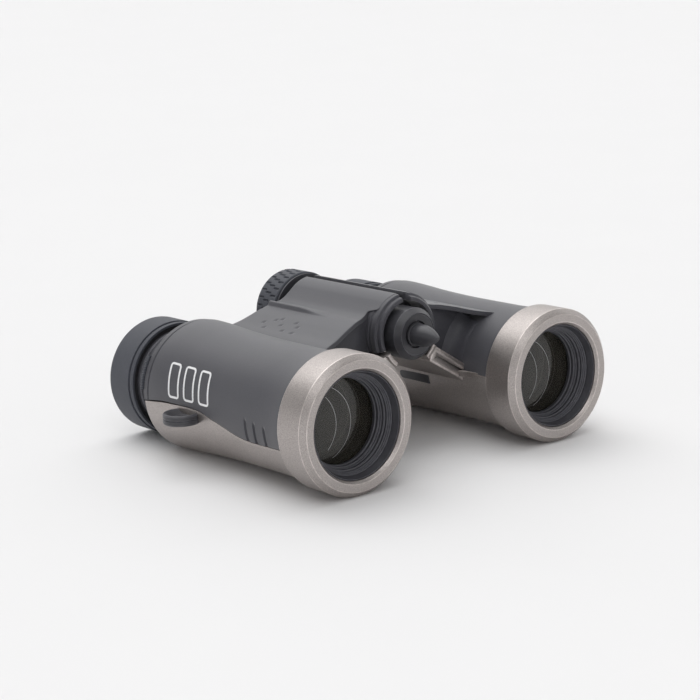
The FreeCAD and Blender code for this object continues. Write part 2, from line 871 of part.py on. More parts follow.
def arm_top_face(station, drop, closing):
    """Face whose upper edge is the arm's top, lowered, and whose other corners close it."""
    leave_hub, hollow, foot, valley = (lowered(point, drop) for point in arm_top_points())
    curve = Part.Arc(
        Vector(leave_hub[0], station, leave_hub[1]),
        Vector(hollow[0], station, hollow[1]),
        Vector(foot[0], station, foot[1]),
    ).toShape()
    chain = [foot, valley] + closing + [leave_hub]
    edges = [curve]
    for start, end in zip(chain, chain[1:]):
        edges.append(Part.makeLine(Vector(start[0], station, start[1]), Vector(end[0], station, end[1])))
    return Part.Face(Part.Wire(Part.__sortEdges__(edges)))


def arm_block(front, rear):
    """The solid that joins hub and barrel, before it is hollowed."""
    leave_hub, meet_barrel, inside_barrel = arm_bottom_points()
    closing = [BARREL_CENTRE, inside_barrel, meet_barrel, leave_hub, HUB_CENTRE]
    return arm_top_face(front, 0.0, closing).extrude(Vector(0, rear - front, 0))


def arm_cavity():
    """The hollow in the arm, between its front and rear walls."""
    wall = float(S.arm_wall)
    front = float(S.arm_front_wall) + float(S.shell_wall)
    rear = float(S.hub_rear) - float(S.end_wall)
    _, _, foot, valley = arm_top_points()
    _, bottom_barrel, _ = arm_bottom_points()
    corners = [
        on_hub(float(S.hub_bore) - 0.7, 46.0),
        lowered(foot, wall * 1.1),
        lowered(valley, wall, -1.0),
        BARREL_CENTRE,
        on_barrel(float(S.waist_radius) - 4.8, 187.0),
        lowered(bottom_barrel, -wall * 1.1, 0.5),
        on_hub(float(S.hub_bore) - 0.2, -48.0),
        HUB_CENTRE,
    ]
    return prism_along_y(corners, front, rear)


PLATE_FRONT_AT_BARREL = float(S.arm_front_wall) - 6.5
PLATE_FRONT_AT_HUB = float(S.arm_front_wall) - 0.4


def top_plate():
    """The overhanging plate in front of the arm's front wall, with a slanting front edge."""
    front = PLATE_FRONT_AT_BARREL - 1.5
    rear = float(S.arm_front_wall) + 0.5
    wall = float(S.arm_wall)
    _, _, foot, valley = (lowered(point, wall) for point in arm_top_points())
    slab = arm_top_face(front, 0.0, [BARREL_CENTRE, HUB_CENTRE]).extrude(Vector(0, rear - front, 0))
    under = arm_top_face(front, wall, [BARREL_CENTRE, HUB_CENTRE]).extrude(Vector(0, rear - front, 0))
    plate = slab.cut(under)
    foot_x = foot[0]
    valley_x = valley[0]
    corners = [
        Vector(0, PLATE_FRONT_AT_HUB, 0),
        Vector(foot_x, PLATE_FRONT_AT_HUB - 0.5, 0),
        Vector(valley_x, PLATE_FRONT_AT_BARREL, 0),
        Vector(valley_x + 6, PLATE_FRONT_AT_BARREL - 2.0, 0),
        Vector(valley_x + 6, 0, 0),
        Vector(0, 0, 0),
    ]
    ahead = Part.Face(Part.makePolygon(corners + corners[:1])).extrude(Vector(0, 0, 60))
    return plate.cut(ahead)


def gap_tool():
    """What the other half owns round the hub: a slot at the top and a wedge at the bottom."""
    half_gap = float(S.top_gap) / 2
    reach = 40.0
    wedge = math.radians(float(S.bottom_gap_angle) / 2)
    centre_z = HUB_CENTRE[1]
    corners = [
        (-reach, centre_z + reach),
        (half_gap, centre_z + reach),
        (half_gap, centre_z),
        (reach * math.sin(wedge), centre_z - reach * math.cos(wedge)),
        (-reach, centre_z - reach),
    ]
    far_side = prism_along_y(corners, -5.0, 90.0)
    keep_barrel = cylinder(-6.0, 100.0, float(S.rear_radius) + 0.01, *BARREL_CENTRE)
    return far_side.cut(keep_barrel)


def outer_parting_curve(drop):
    """The S-shaped parting line on the barrel's outer side, along the station axis."""
    axis_height = float(BARREL_HEIGHT)
    length = float(S.body_length)
    falls = [
        (0.0, -4.6),
        (0.15, -4.6),
        (0.3, -5.0),
        (0.455, -4.1),
        (0.58, -1.9),
        (0.73, -0.3),
        (0.88, -0.4),
        (1.02, -1.3),
    ]
    middle = float(HALF_SPACING)
    points = [Vector(middle, share * length, axis_height + fall - drop) for share, fall in falls]
    curve = Part.BSplineCurve()
    curve.interpolate(points)
    return curve.toShape()


def above_parting(drop=0.0):
    """Everything above the parting line, which a drop lowers for the lower shell."""
    ceiling = 60.0
    rear = float(S.body_length) * 1.02
    inner = [lowered(point, drop) for point in parting_points()]
    corners = inner + [(float(HALF_SPACING), ceiling), (-2.0, ceiling)]
    inner_block = prism_along_y(corners, -2.0, rear)
    curve = outer_parting_curve(drop)
    first = curve.Vertexes[0].Point
    last = curve.Vertexes[-1].Point
    top_last = Vector(last.x, last.y, ceiling)
    top_first = Vector(first.x, first.y, ceiling)
    lines = [
        Part.makeLine(last, top_last),
        Part.makeLine(top_last, top_first),
        Part.makeLine(top_first, first),
    ]
    face = Part.Face(Part.Wire(Part.__sortEdges__([curve] + lines)))
    outer_block = face.extrude(Vector(30, 0, 0))
    return inner_block.fuse(outer_block)


def hollow_out(solid):
    """Opens the barrel, the arm and the hub bore in a solid half body."""
    hub_bore = cylinder(0.0, 90.0, float(S.hub_bore), *HUB_CENTRE)
    hub_bore = hub_bore.cut(cylinder(-1.0, 95.0, float(S.waist_radius) - 0.5, *BARREL_CENTRE))
    for tool in (barrel_cavity(), arm_cavity(), hub_bore, gap_tool()):
        solid = solid.cut(tool)
    return solid


def hub_cover():
    """The upper shell's part of the hub, with a stepped and chamfered front."""
    radius = float(S.cover_radius)
    front = float(S.cover_front)
    chamfer = 0.75
    step = 0.9
    corners = [
        (front, radius - 2 * chamfer),
        (front + step, radius - 2 * chamfer + 0.35),
        (front + step, radius - chamfer),
        (front + step + chamfer, radius),
        (float(S.hub_rear), radius),
    ]
    points = [Vector(0, front, 0)] + [Vector(r, y, 0) for y, r in corners] + [Vector(0, float(S.hub_rear), 0)]
    solid = Part.Face(Part.makePolygon(points + points[:1])).revolve(Vector(0, 0, 0), Vector(0, 1, 0), 360)
    solid.translate(Vector(0, 0, HUB_CENTRE[1]))
    return solid


def upper_shell_shape():
    solid = barrel_solid().fuse(hub_cover())
    solid = solid.fuse(arm_block(float(S.arm_front_wall), float(S.hub_rear)))
    solid = solid.fuse(top_plate())
    shell = hollow_out(solid).common(above_parting())
    return shell.cut(lug_pocket())


def strut_slot():
    """Slot sunk in the front face of the lower arm."""
    top = parting_points()
    bottom_hub, bottom_barrel, _ = arm_bottom_points()
    start = ((top[1][0] + bottom_hub[0]) / 2 + 1.6, (top[1][1] + bottom_hub[1]) / 2 - 0.8)
    end = ((top[2][0] + bottom_barrel[0]) / 2 + 2.2, (top[2][1] + bottom_barrel[1]) / 2 - 1.2)
    angle = math.degrees(math.atan2(end[1] - start[1], end[0] - start[0]))
    length = math.hypot(end[0] - start[0], end[1] - start[1])
    slot_width = 1.2
    slot = Part.makeBox(length, 1.2, slot_width, Vector(0, float(S.strut_front) - 0.1, -slot_width / 2))
    slot.rotate(Vector(0, 0, 0), Vector(0, 1, 0), -angle)
    slot.translate(Vector(start[0], 0, start[1]))
    return slot


def lower_shell_shape():
    front = float(S.strut_front)
    rear = float(S.hub_rear)
    solid = barrel_solid().fuse(cylinder(front, rear - front, float(S.wrap_radius), *HUB_CENTRE))
    solid = solid.fuse(arm_block(front, rear))
    shell = hollow_out(solid).cut(above_parting(float(S.seam_gap)))
    shell = shell.cut(strut_slot()).cut(lug_pocket()).cut(chassis_bar_room())
    for hole in screw_holes():
        shell = shell.cut(hole)
    return shell


# ---------------------------------------------------------------- strap lug and screws

LUG_X = HALF_SPACING + S.lug_reach
LUG_STEM_START = float(S.waist_radius - S.shell_wall)
LUG_STEM_HALF_WIDTH = 3.6


def lug_blank(clearance):
    """The lug's outside, with its stem, grown by a clearance."""
    height = float(S.lug_thickness) + 2 * clearance
    bottom = float(BARREL_HEIGHT) - float(S.lug_drop) - height / 2
    station = float(S.lug_station)
    disc = Part.makeCylinder(float(S.lug_radius) + clearance, height, Vector(float(LUG_X), station, bottom))
    stem_x = float(HALF_SPACING) + LUG_STEM_START - clearance
    half_width = LUG_STEM_HALF_WIDTH + clearance
    stem = Part.makeBox(
        float(LUG_X) - stem_x, 2 * half_width, height, Vector(stem_x, station - half_width, bottom))
    inside = cylinder(0.0, 90.0, LUG_STEM_START - clearance, *BARREL_CENTRE)
    return disc.fuse(stem).cut(inside).removeSplitter()


def lug_pocket():
    return lug_blank(float(S.running_gap))


def strap_lug_shape():
    """Eyelet disc with a countersunk bore and a groove round its rim."""
    height = float(S.lug_thickness)
    radius = float(S.lug_radius)
    bore = float(S.lug_bore)
    centre = Vector(float(LUG_X), float(S.lug_station), float(BARREL_HEIGHT) - float(S.lug_drop))
    bottom = centre - Vector(0, 0, height / 2)
    sink = 0.8
    blank = lug_blank(0.0)
    blank = blank.cut(Part.makeCylinder(bore, height + 2, bottom - Vector(0, 0, 1)))
    blank = blank.cut(Part.makeCone(bore, bore + sink, sink, centre + Vector(0, 0, height / 2 - sink)))
    blank = blank.cut(Part.makeCone(bore + sink, bore, sink, bottom))
    groove = Part.makeTorus(radius + 0.12, 0.3, centre, Vector(0, 0, 1))
    wall = cylinder(0.0, 90.0, float(S.rear_radius), *BARREL_CENTRE)
    return blank.cut(groove.cut(wall))


SCREW_STATIONS = (0.29, 0.85)
SCREW_HEAD_DEPTH = 1.0


def screw_axes():
    """Head positions under the lower shell: two below the barrel's axis and one below the arm."""
    reach = float(S.body_length)
    axes = []
    for share in SCREW_STATIONS:
        station = share * reach
        axes.append(Vector(float(HALF_SPACING), station, float(BARREL_HEIGHT) - barrel_radius_at(station)))
    return axes


def barrel_radius_at(station):
    """The barrel's outside radius at a station, read from the same curve."""
    points = barrel_outline_points()
    for (r1, y1), (r2, y2) in zip(points, points[1:]):
        if y1 <= station <= y2:
            return r1 + (r2 - r1) * (station - y1) / (y2 - y1)
    return points[-1][0]


def screw_holes():
    holes = []
    gap = float(S.running_gap)
    below = Vector(0, 0, 1.0)
    depth = below.z + SCREW_HEAD_DEPTH
    for axis in screw_axes():
        head = Part.makeCylinder(float(S.screw_head_radius) + gap, depth, axis - below)
        shank = Part.makeCylinder(float(S.screw_radius) + gap, 6.0, axis)
        holes.append(head.fuse(shank))
    return holes


def case_screws_shape():
    """Cross-head screws sunk in the lower shell."""
    screws = []
    for axis in screw_axes():
        seat = axis + Vector(0, 0, SCREW_HEAD_DEPTH)
        head = Part.makeCylinder(float(S.screw_head_radius), 0.7, seat - Vector(0, 0, 0.7))
        shank = Part.makeCylinder(float(S.screw_radius), 1.2, seat)
        screw = head.fuse(shank)
        for angle in (0, 90):
            blade = Part.makeBox(1.8, 0.35, 0.4, Vector(-0.9, -0.175, 0))
            blade.rotate(Vector(0, 0, 0), Vector(0, 0, 1), angle)
            blade.translate(seat - Vector(0, 0, 0.75))
            screw = screw.cut(blade)
        screws.append(screw)
    return Part.makeCompound(screws)


# ---------------------------------------------------------------- chassis and focus arms

def along_arm(start, end, half_height, front, rear):
    """A bar along the line from the hinge to the barrel, between two distances from the hinge."""
    bar = Part.makeBox(end - start, rear - front, 2 * half_height, Vector(start, front, -half_height))
    bar.rotate(Vector(0, 0, 0), Vector(0, 1, 0), ARM_ANGLE)
    bar.translate(Vector(0, 0, HUB_CENTRE[1]))
    return bar


CHASSIS_BAR_START = float(S.knuckle_radius) + 0.4
CHASSIS_BAR_HALF_HEIGHT = 3.0
CHASSIS_BAR_FRONT = float(S.knuckle_start)
CHASSIS_BAR_REAR = float(knuckle_front(KNUCKLE_COUNT - 1) + S.knuckle_length)


def chassis_bar_room():
    """Room beside the hub for the chassis bar, cut from the lower shell where a steep arm needs it."""
    room = 0.15
    start = float(S.tube_radius)
    end = CHASSIS_BAR_START + 3.0
    half_height = CHASSIS_BAR_HALF_HEIGHT + room
    return along_arm(start, end, half_height, CHASSIS_BAR_FRONT - room, CHASSIS_BAR_REAR + room)


def chassis_shape(knuckles, bore):
    """Inner casting: a tube in the barrel, a bar through the arm and its own hinge knuckles."""
    tube_front = float(S.knuckle_start) - 0.6
    tube_rear = float(GUIDE_FRONT) + 5.0
    bar_start = CHASSIS_BAR_START
    casting = cylinder(tube_front, tube_rear - tube_front, float(S.chassis_radius), *BARREL_CENTRE)
    bar = along_arm(bar_start, ARM_REACH - 6, CHASSIS_BAR_HALF_HEIGHT, CHASSIS_BAR_FRONT, CHASSIS_BAR_REAR)
    bar = bar.cut(cylinder(0.0, 90.0, bar_start, *HUB_CENTRE))
    casting = casting.fuse(bar)
    for index in knuckles:
        front = float(knuckle_front(index))
        rear = front + float(S.knuckle_length)
        knuckle = cylinder(front, rear - front, float(S.knuckle_radius), *HUB_CENTRE)
        bridge = along_arm(float(S.tube_radius), bar_start + 2, CHASSIS_BAR_HALF_HEIGHT, front, rear)
        casting = casting.fuse(knuckle).fuse(bridge)
        casting = casting.cut(cylinder(front - 0.1, rear - front + 0.2, bore, *HUB_CENTRE))
    barrel_bore = cylinder(0.0, 90.0, float(S.chassis_bore), *BARREL_CENTRE)
    return casting.cut(barrel_bore)


def focus_arm_shape(side):
    """Flat arm from the focus nut to the focusing cell. The left one has a ring in the nut's groove."""
    nut_front = float(S.nut_front)
    reach = ARM_REACH - float(S.focus_cell_radius) + 2.0
    half_height = float(S.arm_plate_height) / 2
    if side == RIGHT:
        front = nut_front + 2.7
        rear = float(FOCUS_CELL_REAR)
        arm = along_arm(1.0, reach, half_height, front, rear)
        arm = arm.cut(cylinder(0.0, 90.0, float(S.nut_radius), *HUB_CENTRE))
    else:
        front = nut_front + 1.2
        rear = front + 1.2
        bore = float(S.nut_groove_radius + S.running_gap)
        ring = cylinder(front, rear - front, float(S.nut_radius), *HUB_CENTRE)
        arm = along_arm(1.0, reach, half_height, front, rear).fuse(ring)
        arm = arm.cut(cylinder(0.0, 90.0, bore, *HUB_CENTRE))
    return arm.cut(cylinder(0.0, 90.0, float(S.focus_cell_radius), *BARREL_CENTRE))


# ---------------------------------------------------------------- prisms

PRISM_FRONT = S.knuckle_start + 1.6
PRISM_GAP = 0.3


def prism_body(label, side, corners):
    """A glass prism: a flat outline in the plane of the optical axis and Z, padded across X."""
    body = barrel_body(label, side)
    sketch = new_sketch(body, "outline", "YZ_Plane")
    points = [Vector(float(station), height, 0) for station, height in corners]
    for index, point in enumerate(points):
        sketch.addGeometry(Part.LineSegment(point, points[(index + 1) % len(points)]), False)
    for index, (station, height) in enumerate(corners):
        before = (index - 1) % len(corners)
        sketch.addConstraint(Sketcher.Constraint("Coincident", before, 2, index, 1))
        tie(sketch, "DistanceX", index, 1, station)
        tie(sketch, "DistanceY", index, 1, height)
    DOC.recompute()
    pad = body.newObject("PartDesign::Pad", f"{label}_pad")
    pad.Profile = sketch
    pad.Midplane = True
    pad.Length = float(S.prism_width)
    pad.setExpression("Length", S.prism_width.formula)
    return body


def half_pentaprism(label, side):
    return prism_body(label, side, [
        (PRISM_FRONT, -6.5),
        (PRISM_FRONT + 5.4, -6.5),
        (PRISM_FRONT + 9.2, 6.5),
        (PRISM_FRONT + 2.2, 8.7),
        (PRISM_FRONT, 6.5),
    ])


def roof_prism(label, side):
    shift = PRISM_GAP
    return prism_body(label, side, [
        (PRISM_FRONT + 5.4 + shift, -6.5),
        (PRISM_FRONT + 11.4, -9.2),
        (PRISM_FRONT + 16.0, -6.5),
        (PRISM_FRONT + 16.0, 6.5),
        (PRISM_FRONT + 9.2 + shift, 6.5),
    ])


def prism_holder_shape():
    """Moulded holder: a plug in the chassis tube with a pocket for both prisms."""
    front = float(PRISM_FRONT) - 0.8
    rear = float(PRISM_FRONT) + 17.6
    width = float(S.prism_width)
    pocket_height = 18.8
    holder = cylinder(front, rear - front, float(S.chassis_bore) - 0.05, *BARREL_CENTRE)
    pocket_x = BARREL_CENTRE[0] - width / 2 - 0.1
    pocket = Part.makeBox(
        width + 0.2, 16.4, pocket_height,
        Vector(pocket_x, float(PRISM_FRONT) - 0.2, BARREL_CENTRE[1] - pocket_height / 2))
    light_path = cylinder(front - 1, rear - front + 2, 5.9, *BARREL_CENTRE)
    return holder.cut(pocket).cut(light_path)


# ---------------------------------------------------------------- dioptre ring

DIOPTRE_TAB_ANGLES = (5.0, 35.0)


def dioptre_ring_shape():
    """Thin ring on the right guide tube, with a lever tab at the outer side."""
    front = float(S.body_length) + 0.3
    thickness = float(S.dioptre_thickness)
    bore = float(S.guide_radius) + 2 * float(S.running_gap)
    ring = ring_solid(front, thickness, bore, float(S.dioptre_radius), *BARREL_CENTRE)
    tab_outer = ring_solid(front, thickness, bore, float(S.rear_radius), *BARREL_CENTRE)
    reach = 40.0
    corners = [BARREL_CENTRE] + [on_barrel(reach, angle) for angle in DIOPTRE_TAB_ANGLES]
    tab = tab_outer.common(prism_along_y(corners, front - 1, front + thickness + 1))
    return ring.fuse(tab).removeSplitter()


# ---------------------------------------------------------------- assembly

TURNED_BY_SIDE = {
    "objective_ring": objective_ring,
    "objective_retainer": objective_retainer,
    "objective_cell": objective_cell,
    "objective_crown_lens": crown_lens,
    "objective_flint_lens": flint_lens,
    "focus_cell": focus_cell,
    "focus_lens": focus_lens,
    "pentaprism": half_pentaprism,
    "roof_prism": roof_prism,
    "eyecup_guide": eyecup_guide,
    "ocular_cell": ocular_cell,
    "field_lens": field_lens,
    "eye_lens": eye_lens,
    "eyecup_carrier": eyecup_carrier,
    "eyecup_core": eyecup_core,
    "eyecup": eyecup,
}

TURNED_ON_HINGE = {
    "hinge_tube": slotted_hinge_tube,
    "nose_cap": nose_cap,
    "nose_cone": nose_cone,
    "focus_spindle": focus_spindle,
    "focus_nut": focus_nut,
    "focus_wheel": focus_wheel,
    "wheel_grip": wheel_grip,
    "wheel_cap": wheel_cap,
    "hinge_washers": hinge_washers,
}

KNUCKLES = {"right": (0, 2, 4), "left": (1, 3)}


def build():
    """Makes every sub-part and returns them in order."""
    parts = []
    for name, side in SIDES.items():
        for piece, make in TURNED_BY_SIDE.items():
            parts.append(make(f"{name}_{piece}", side))
    for piece, make in TURNED_ON_HINGE.items():
        parts.append(make(piece))
    shapes = {
        "upper_shell": upper_shell_shape(),
        "lower_shell": lower_shell_shape(),
        "strap_lug": strap_lug_shape(),
        "case_screws": case_screws_shape(),
        "prism_holder": prism_holder_shape(),
    }
    for name, side in SIDES.items():
        for piece, shape in shapes.items():
            parts.append(frame_feature(f"{name}_{piece}", for_side(shape, side)))
        knuckle_bore = float(S.tube_radius) if side == RIGHT else float(S.tube_radius + S.running_gap)
        chassis = chassis_shape(KNUCKLES[name], knuckle_bore)
        parts.append(frame_feature(f"{name}_chassis", for_side(chassis, side)))
        parts.append(frame_feature(f"{name}_focus_arm", for_side(focus_arm_shape(side), side)))
    parts.append(frame_feature("dioptre_ring", mirrored(dioptre_ring_shape())))
    return parts


def check(parts):
    """Stops on any failed object or any sub-part without a sound shape."""
    for thing in DOC.Objects:
        bad = [state for state in thing.State if state in ("Invalid", "Error")]
        if bad:
            raise RuntimeError(f"{thing.Label} is {bad}")
    for part in parts:
        if part.Shape.isNull() or not part.Shape.isValid() or part.Shape.Volume <= 0:
            raise RuntimeError(f"{part.Label} has no sound shape")


def main():
    parts = build()
    DOC.recompute()
    check(parts)
    os.makedirs("parts", exist_ok=True)
    for part in parts:
        part.Shape.exportStep(f"parts/{part.Label}.step")
    print(f"{len(parts)} sub-parts written")


main()
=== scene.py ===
import json
import math

import bmesh
import bpy
from mathutils import Matrix, Quaternion, Vector


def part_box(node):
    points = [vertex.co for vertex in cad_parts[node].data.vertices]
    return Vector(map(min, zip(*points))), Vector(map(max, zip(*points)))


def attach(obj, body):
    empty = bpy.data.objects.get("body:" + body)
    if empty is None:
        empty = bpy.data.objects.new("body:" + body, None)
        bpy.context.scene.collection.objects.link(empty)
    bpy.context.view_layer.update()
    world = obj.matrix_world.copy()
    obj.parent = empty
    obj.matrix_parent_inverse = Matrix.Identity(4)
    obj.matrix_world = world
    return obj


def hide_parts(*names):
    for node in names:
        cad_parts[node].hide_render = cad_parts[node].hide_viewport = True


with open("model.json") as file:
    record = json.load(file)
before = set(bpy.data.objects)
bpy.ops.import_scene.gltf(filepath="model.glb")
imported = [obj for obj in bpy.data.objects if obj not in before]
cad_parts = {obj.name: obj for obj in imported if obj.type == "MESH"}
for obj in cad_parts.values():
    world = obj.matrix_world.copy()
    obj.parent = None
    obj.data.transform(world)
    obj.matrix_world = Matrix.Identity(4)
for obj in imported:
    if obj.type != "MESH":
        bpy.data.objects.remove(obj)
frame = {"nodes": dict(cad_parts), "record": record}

bl_info = {
    "name": "Compact binoculars",
    "version": (1, 0, 0),
    "blender": (4, 5, 0),
    "location": "View3D > Sidebar > Binoculars",
    "description": "Builds the outer pieces of a pair of roof prism binoculars round their packed frame",
    "category": "Object",
}

# Shapes are worked out in millimetres. A station is a distance behind the front of the objective rings.
MM = 0.001
LEFT, RIGHT = 1, -1
SIDES = {"left": LEFT, "right": RIGHT}

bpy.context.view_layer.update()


def box_mm(node):
    """Lowest and highest corner of a frame node, in millimetres."""
    low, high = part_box(node)
    return low / MM, high / MM


RING_LOW, RING_HIGH = box_mm("left_objective_ring")
FRONT = RING_LOW.y
BARREL_X = (RING_LOW.x + RING_HIGH.x) / 2
BARREL_Z = (RING_LOW.z + RING_HIGH.z) / 2
RING_RADIUS = (RING_HIGH.z - RING_LOW.z) / 2
RING_LENGTH = RING_HIGH.y - RING_LOW.y
WHEEL_LOW, WHEEL_HIGH = box_mm("wheel_grip")
HINGE_Z = (WHEEL_LOW.z + WHEEL_HIGH.z) / 2
WHEEL_RADIUS = (WHEEL_HIGH.z - WHEEL_LOW.z) / 2
CONE_LOW, CONE_HIGH = box_mm("nose_cone")
CAP_LOW, CAP_HIGH = box_mm("nose_cap")
CUP_LOW, CUP_HIGH = box_mm("left_eyecup")
CUP_RADIUS = (CUP_HIGH.z - CUP_LOW.z) / 2
GUIDE_LOW, GUIDE_HIGH = box_mm("left_eyecup_guide")
GUIDE_FLANGE = 0.12
GUIDE_RADIUS = (GUIDE_HIGH.z - GUIDE_LOW.z) / 2 - GUIDE_FLANGE
LUG_LOW, LUG_HIGH = box_mm("left_strap_lug")
DIOPTRE_LOW, DIOPTRE_HIGH = box_mm("dioptre_ring")
BARREL = (BARREL_X, BARREL_Z)
HINGE = (0.0, HINGE_Z)


def station(y):
    return y - FRONT


# Barrel outside, as (station, radius), from behind the ring to the stepped rear rim.
BODY_FRONT = RING_LENGTH + 0.1
BODY_REAR = 65.5
BARREL_PROFILE = [
    (BODY_FRONT, 16.4), (14.0, 16.0), (20.0, 15.82), (30.0, 15.82), (40.0, 15.92), (50.0, 16.3), (56.0, 16.68),
    (60.0, 16.9), (BODY_REAR, 17.0),
]
OUTER_SEAM = [
    (BODY_FRONT, 12.6), (19.8, 12.2), (24.9, 12.3), (29.8, 13.1), (34.5, 14.5), (37.9, 15.35), (42.9, 16.6),
    (53.3, 16.9), (57.7, 16.8), (BODY_REAR, 15.95),
]
INNER_SEAM_ANGLE = 176.0
SEAM_GAP = 0.2

# Top of the arm from the hub to the valley beside the barrel, as (distance from the hinge plane, height).
HUB_RADIUS = 9.95
HUB_FRONT = 20.2
HUB_REAR = 58.5
ARM_SECTION = [
    (5.6, 39.5), (7.6, 37.95), (9.4, 36.75), (11.3, 36.1), (13.8, 35.72), (15.0, 35.45), (18.4, 34.55),
    (20.6, 33.85), (23.4, 33.05), (27.8, 32.1), (30.5, 31.2),
]
HALF_GAP = 1.25
RIDGE_AT = 13.9
DIMPLES = [
    (21.8, 50.8), (24.0, 48.0), (20.1, 48.0), (19.2, 46.4), (21.7, 43.9), (23.9, 40.7), (19.6, 40.2), (21.2, 37.9),
    (24.0, 36.7),
]


class ShellSettings(bpy.types.PropertyGroup):
    wall: bpy.props.FloatProperty(
        name="Wall", description="Thickness of the shells' skins", default=1.3 * MM, min=0.2 * MM, unit="LENGTH")
    plate_edge: bpy.props.FloatProperty(
        name="Plate edge", description="Thickness of the arm's top plate", default=1.1 * MM, unit="LENGTH")
    slot_depth: bpy.props.FloatProperty(
        name="Grip slot depth", description="Depth of the three slots on the outer side", default=0.45 * MM,
        unit="LENGTH")
    slot_width: bpy.props.FloatProperty(
        name="Grip slot width", description="Width of each of the three slots", default=0.8 * MM, unit="LENGTH")
    dimple_depth: bpy.props.FloatProperty(
        name="Dimple depth", description="Depth of the thumb dimples on the arm", default=0.3 * MM, unit="LENGTH")
    dimple_radius: bpy.props.FloatProperty(
        name="Dimple radius", description="Radius of a thumb dimple", default=0.85 * MM, unit="LENGTH")
    ridge_height: bpy.props.FloatProperty(
        name="Ridge height", description="Step beside the finger hollow", default=0.95 * MM, unit="LENGTH")
    mark_stroke: bpy.props.FloatProperty(
        name="Mark stroke", description="Width of the printed outline bars", default=0.55 * MM, unit="LENGTH")


class GripSettings(bpy.types.PropertyGroup):
    dashes: bpy.props.IntProperty(
        name="Dashes", description="Dashes in each row round the focus wheel", default=30, min=6)
    dash_depth: bpy.props.FloatProperty(
        name="Dash depth", description="Depth of a dash in the rubber", default=0.42 * MM, unit="LENGTH")
    teeth: bpy.props.IntProperty(
        name="Teeth", description="Teeth on the dioptre lever", default=14, min=4)


class FinishSettings(bpy.types.PropertyGroup):
    soft_touch: bpy.props.FloatVectorProperty(
        name="Soft touch", description="Colour of the upper shells", subtype="COLOR", size=3,
        default=(0.043, 0.043, 0.053))
    paint: bpy.props.FloatVectorProperty(
        name="Metal paint", description="Colour of the rings and lower shells", subtype="COLOR", size=3,
        default=(0.42, 0.385, 0.37))
    rubber: bpy.props.FloatVectorProperty(
        name="Rubber", description="Colour of eyecups and focus wheel", subtype="COLOR", size=3,
        default=(0.058, 0.062, 0.076))
    satin: bpy.props.FloatVectorProperty(
        name="Satin black", description="Colour of the nose and small black parts", subtype="COLOR", size=3,
        default=(0.014, 0.014, 0.016))
    coating: bpy.props.FloatVectorProperty(
        name="Lens coating", description="Tint of the coated lenses", subtype="COLOR", size=3,
        default=(0.034, 0.031, 0.024))
    mark: bpy.props.FloatVectorProperty(
        name="Mark", description="Colour of the printed bars", subtype="COLOR", size=3, default=(0.86, 0.86, 0.87))


class StageSettings(bpy.types.PropertyGroup):
    azimuth: bpy.props.FloatProperty(
        name="Azimuth", description="Direction of the camera round the object", default=math.radians(-38.788),
        subtype="ANGLE")
    elevation: bpy.props.FloatProperty(
        name="Elevation", description="Height of the camera as an angle", default=math.radians(12.655),
        subtype="ANGLE")
    roll: bpy.props.FloatProperty(
        name="Roll", description="Turn of the camera about its own line of sight", default=math.radians(-2.485),
        subtype="ANGLE")
    lens: bpy.props.FloatProperty(
        name="Focal length", description="Camera lens in millimetres on a 36 mm sensor", default=106.61)
    floor_lean: bpy.props.FloatProperty(
        name="Floor lean", description="The eyecups are smaller than the rings, so the object leans on the floor",
        default=math.radians(1.518), subtype="ANGLE")
    key_strength: bpy.props.FloatProperty(
        name="Key light", description="Strength of the broad soft light overhead", default=1.35)
    back_strength: bpy.props.FloatProperty(
        name="Back light", description="Strength of the soft light low behind the object", default=1.55)
    front_strength: bpy.props.FloatProperty(
        name="Front light", description="Strength of the small soft light that catches the chamfers", default=0.42)
    sky: bpy.props.FloatProperty(
        name="Sky", description="Strength of the white surroundings", default=0.37)


# ---------------------------------------------------------------- materials

class Value:
    """A socket of a material's node. Arithmetic on it adds Math nodes."""

    def __init__(self, finish, socket):
        self.finish = finish
        self.socket = socket

    def _math(self, operation, first, second):
        return self.finish.node("ShaderNodeMath", {"operation": operation}, {0: first, 1: second})

    def __add__(self, other):
        return self._math("ADD", self, other)

    def __radd__(self, other):
        return self._math("ADD", other, self)

    def __sub__(self, other):
        return self._math("SUBTRACT", self, other)

    def __rsub__(self, other):
        return self._math("SUBTRACT", other, self)

    def __mul__(self, other):
        return self._math("MULTIPLY", self, other)

    def __rmul__(self, other):
        return self._math("MULTIPLY", other, self)

    def __pow__(self, other):
        return self._math("POWER", self, other)


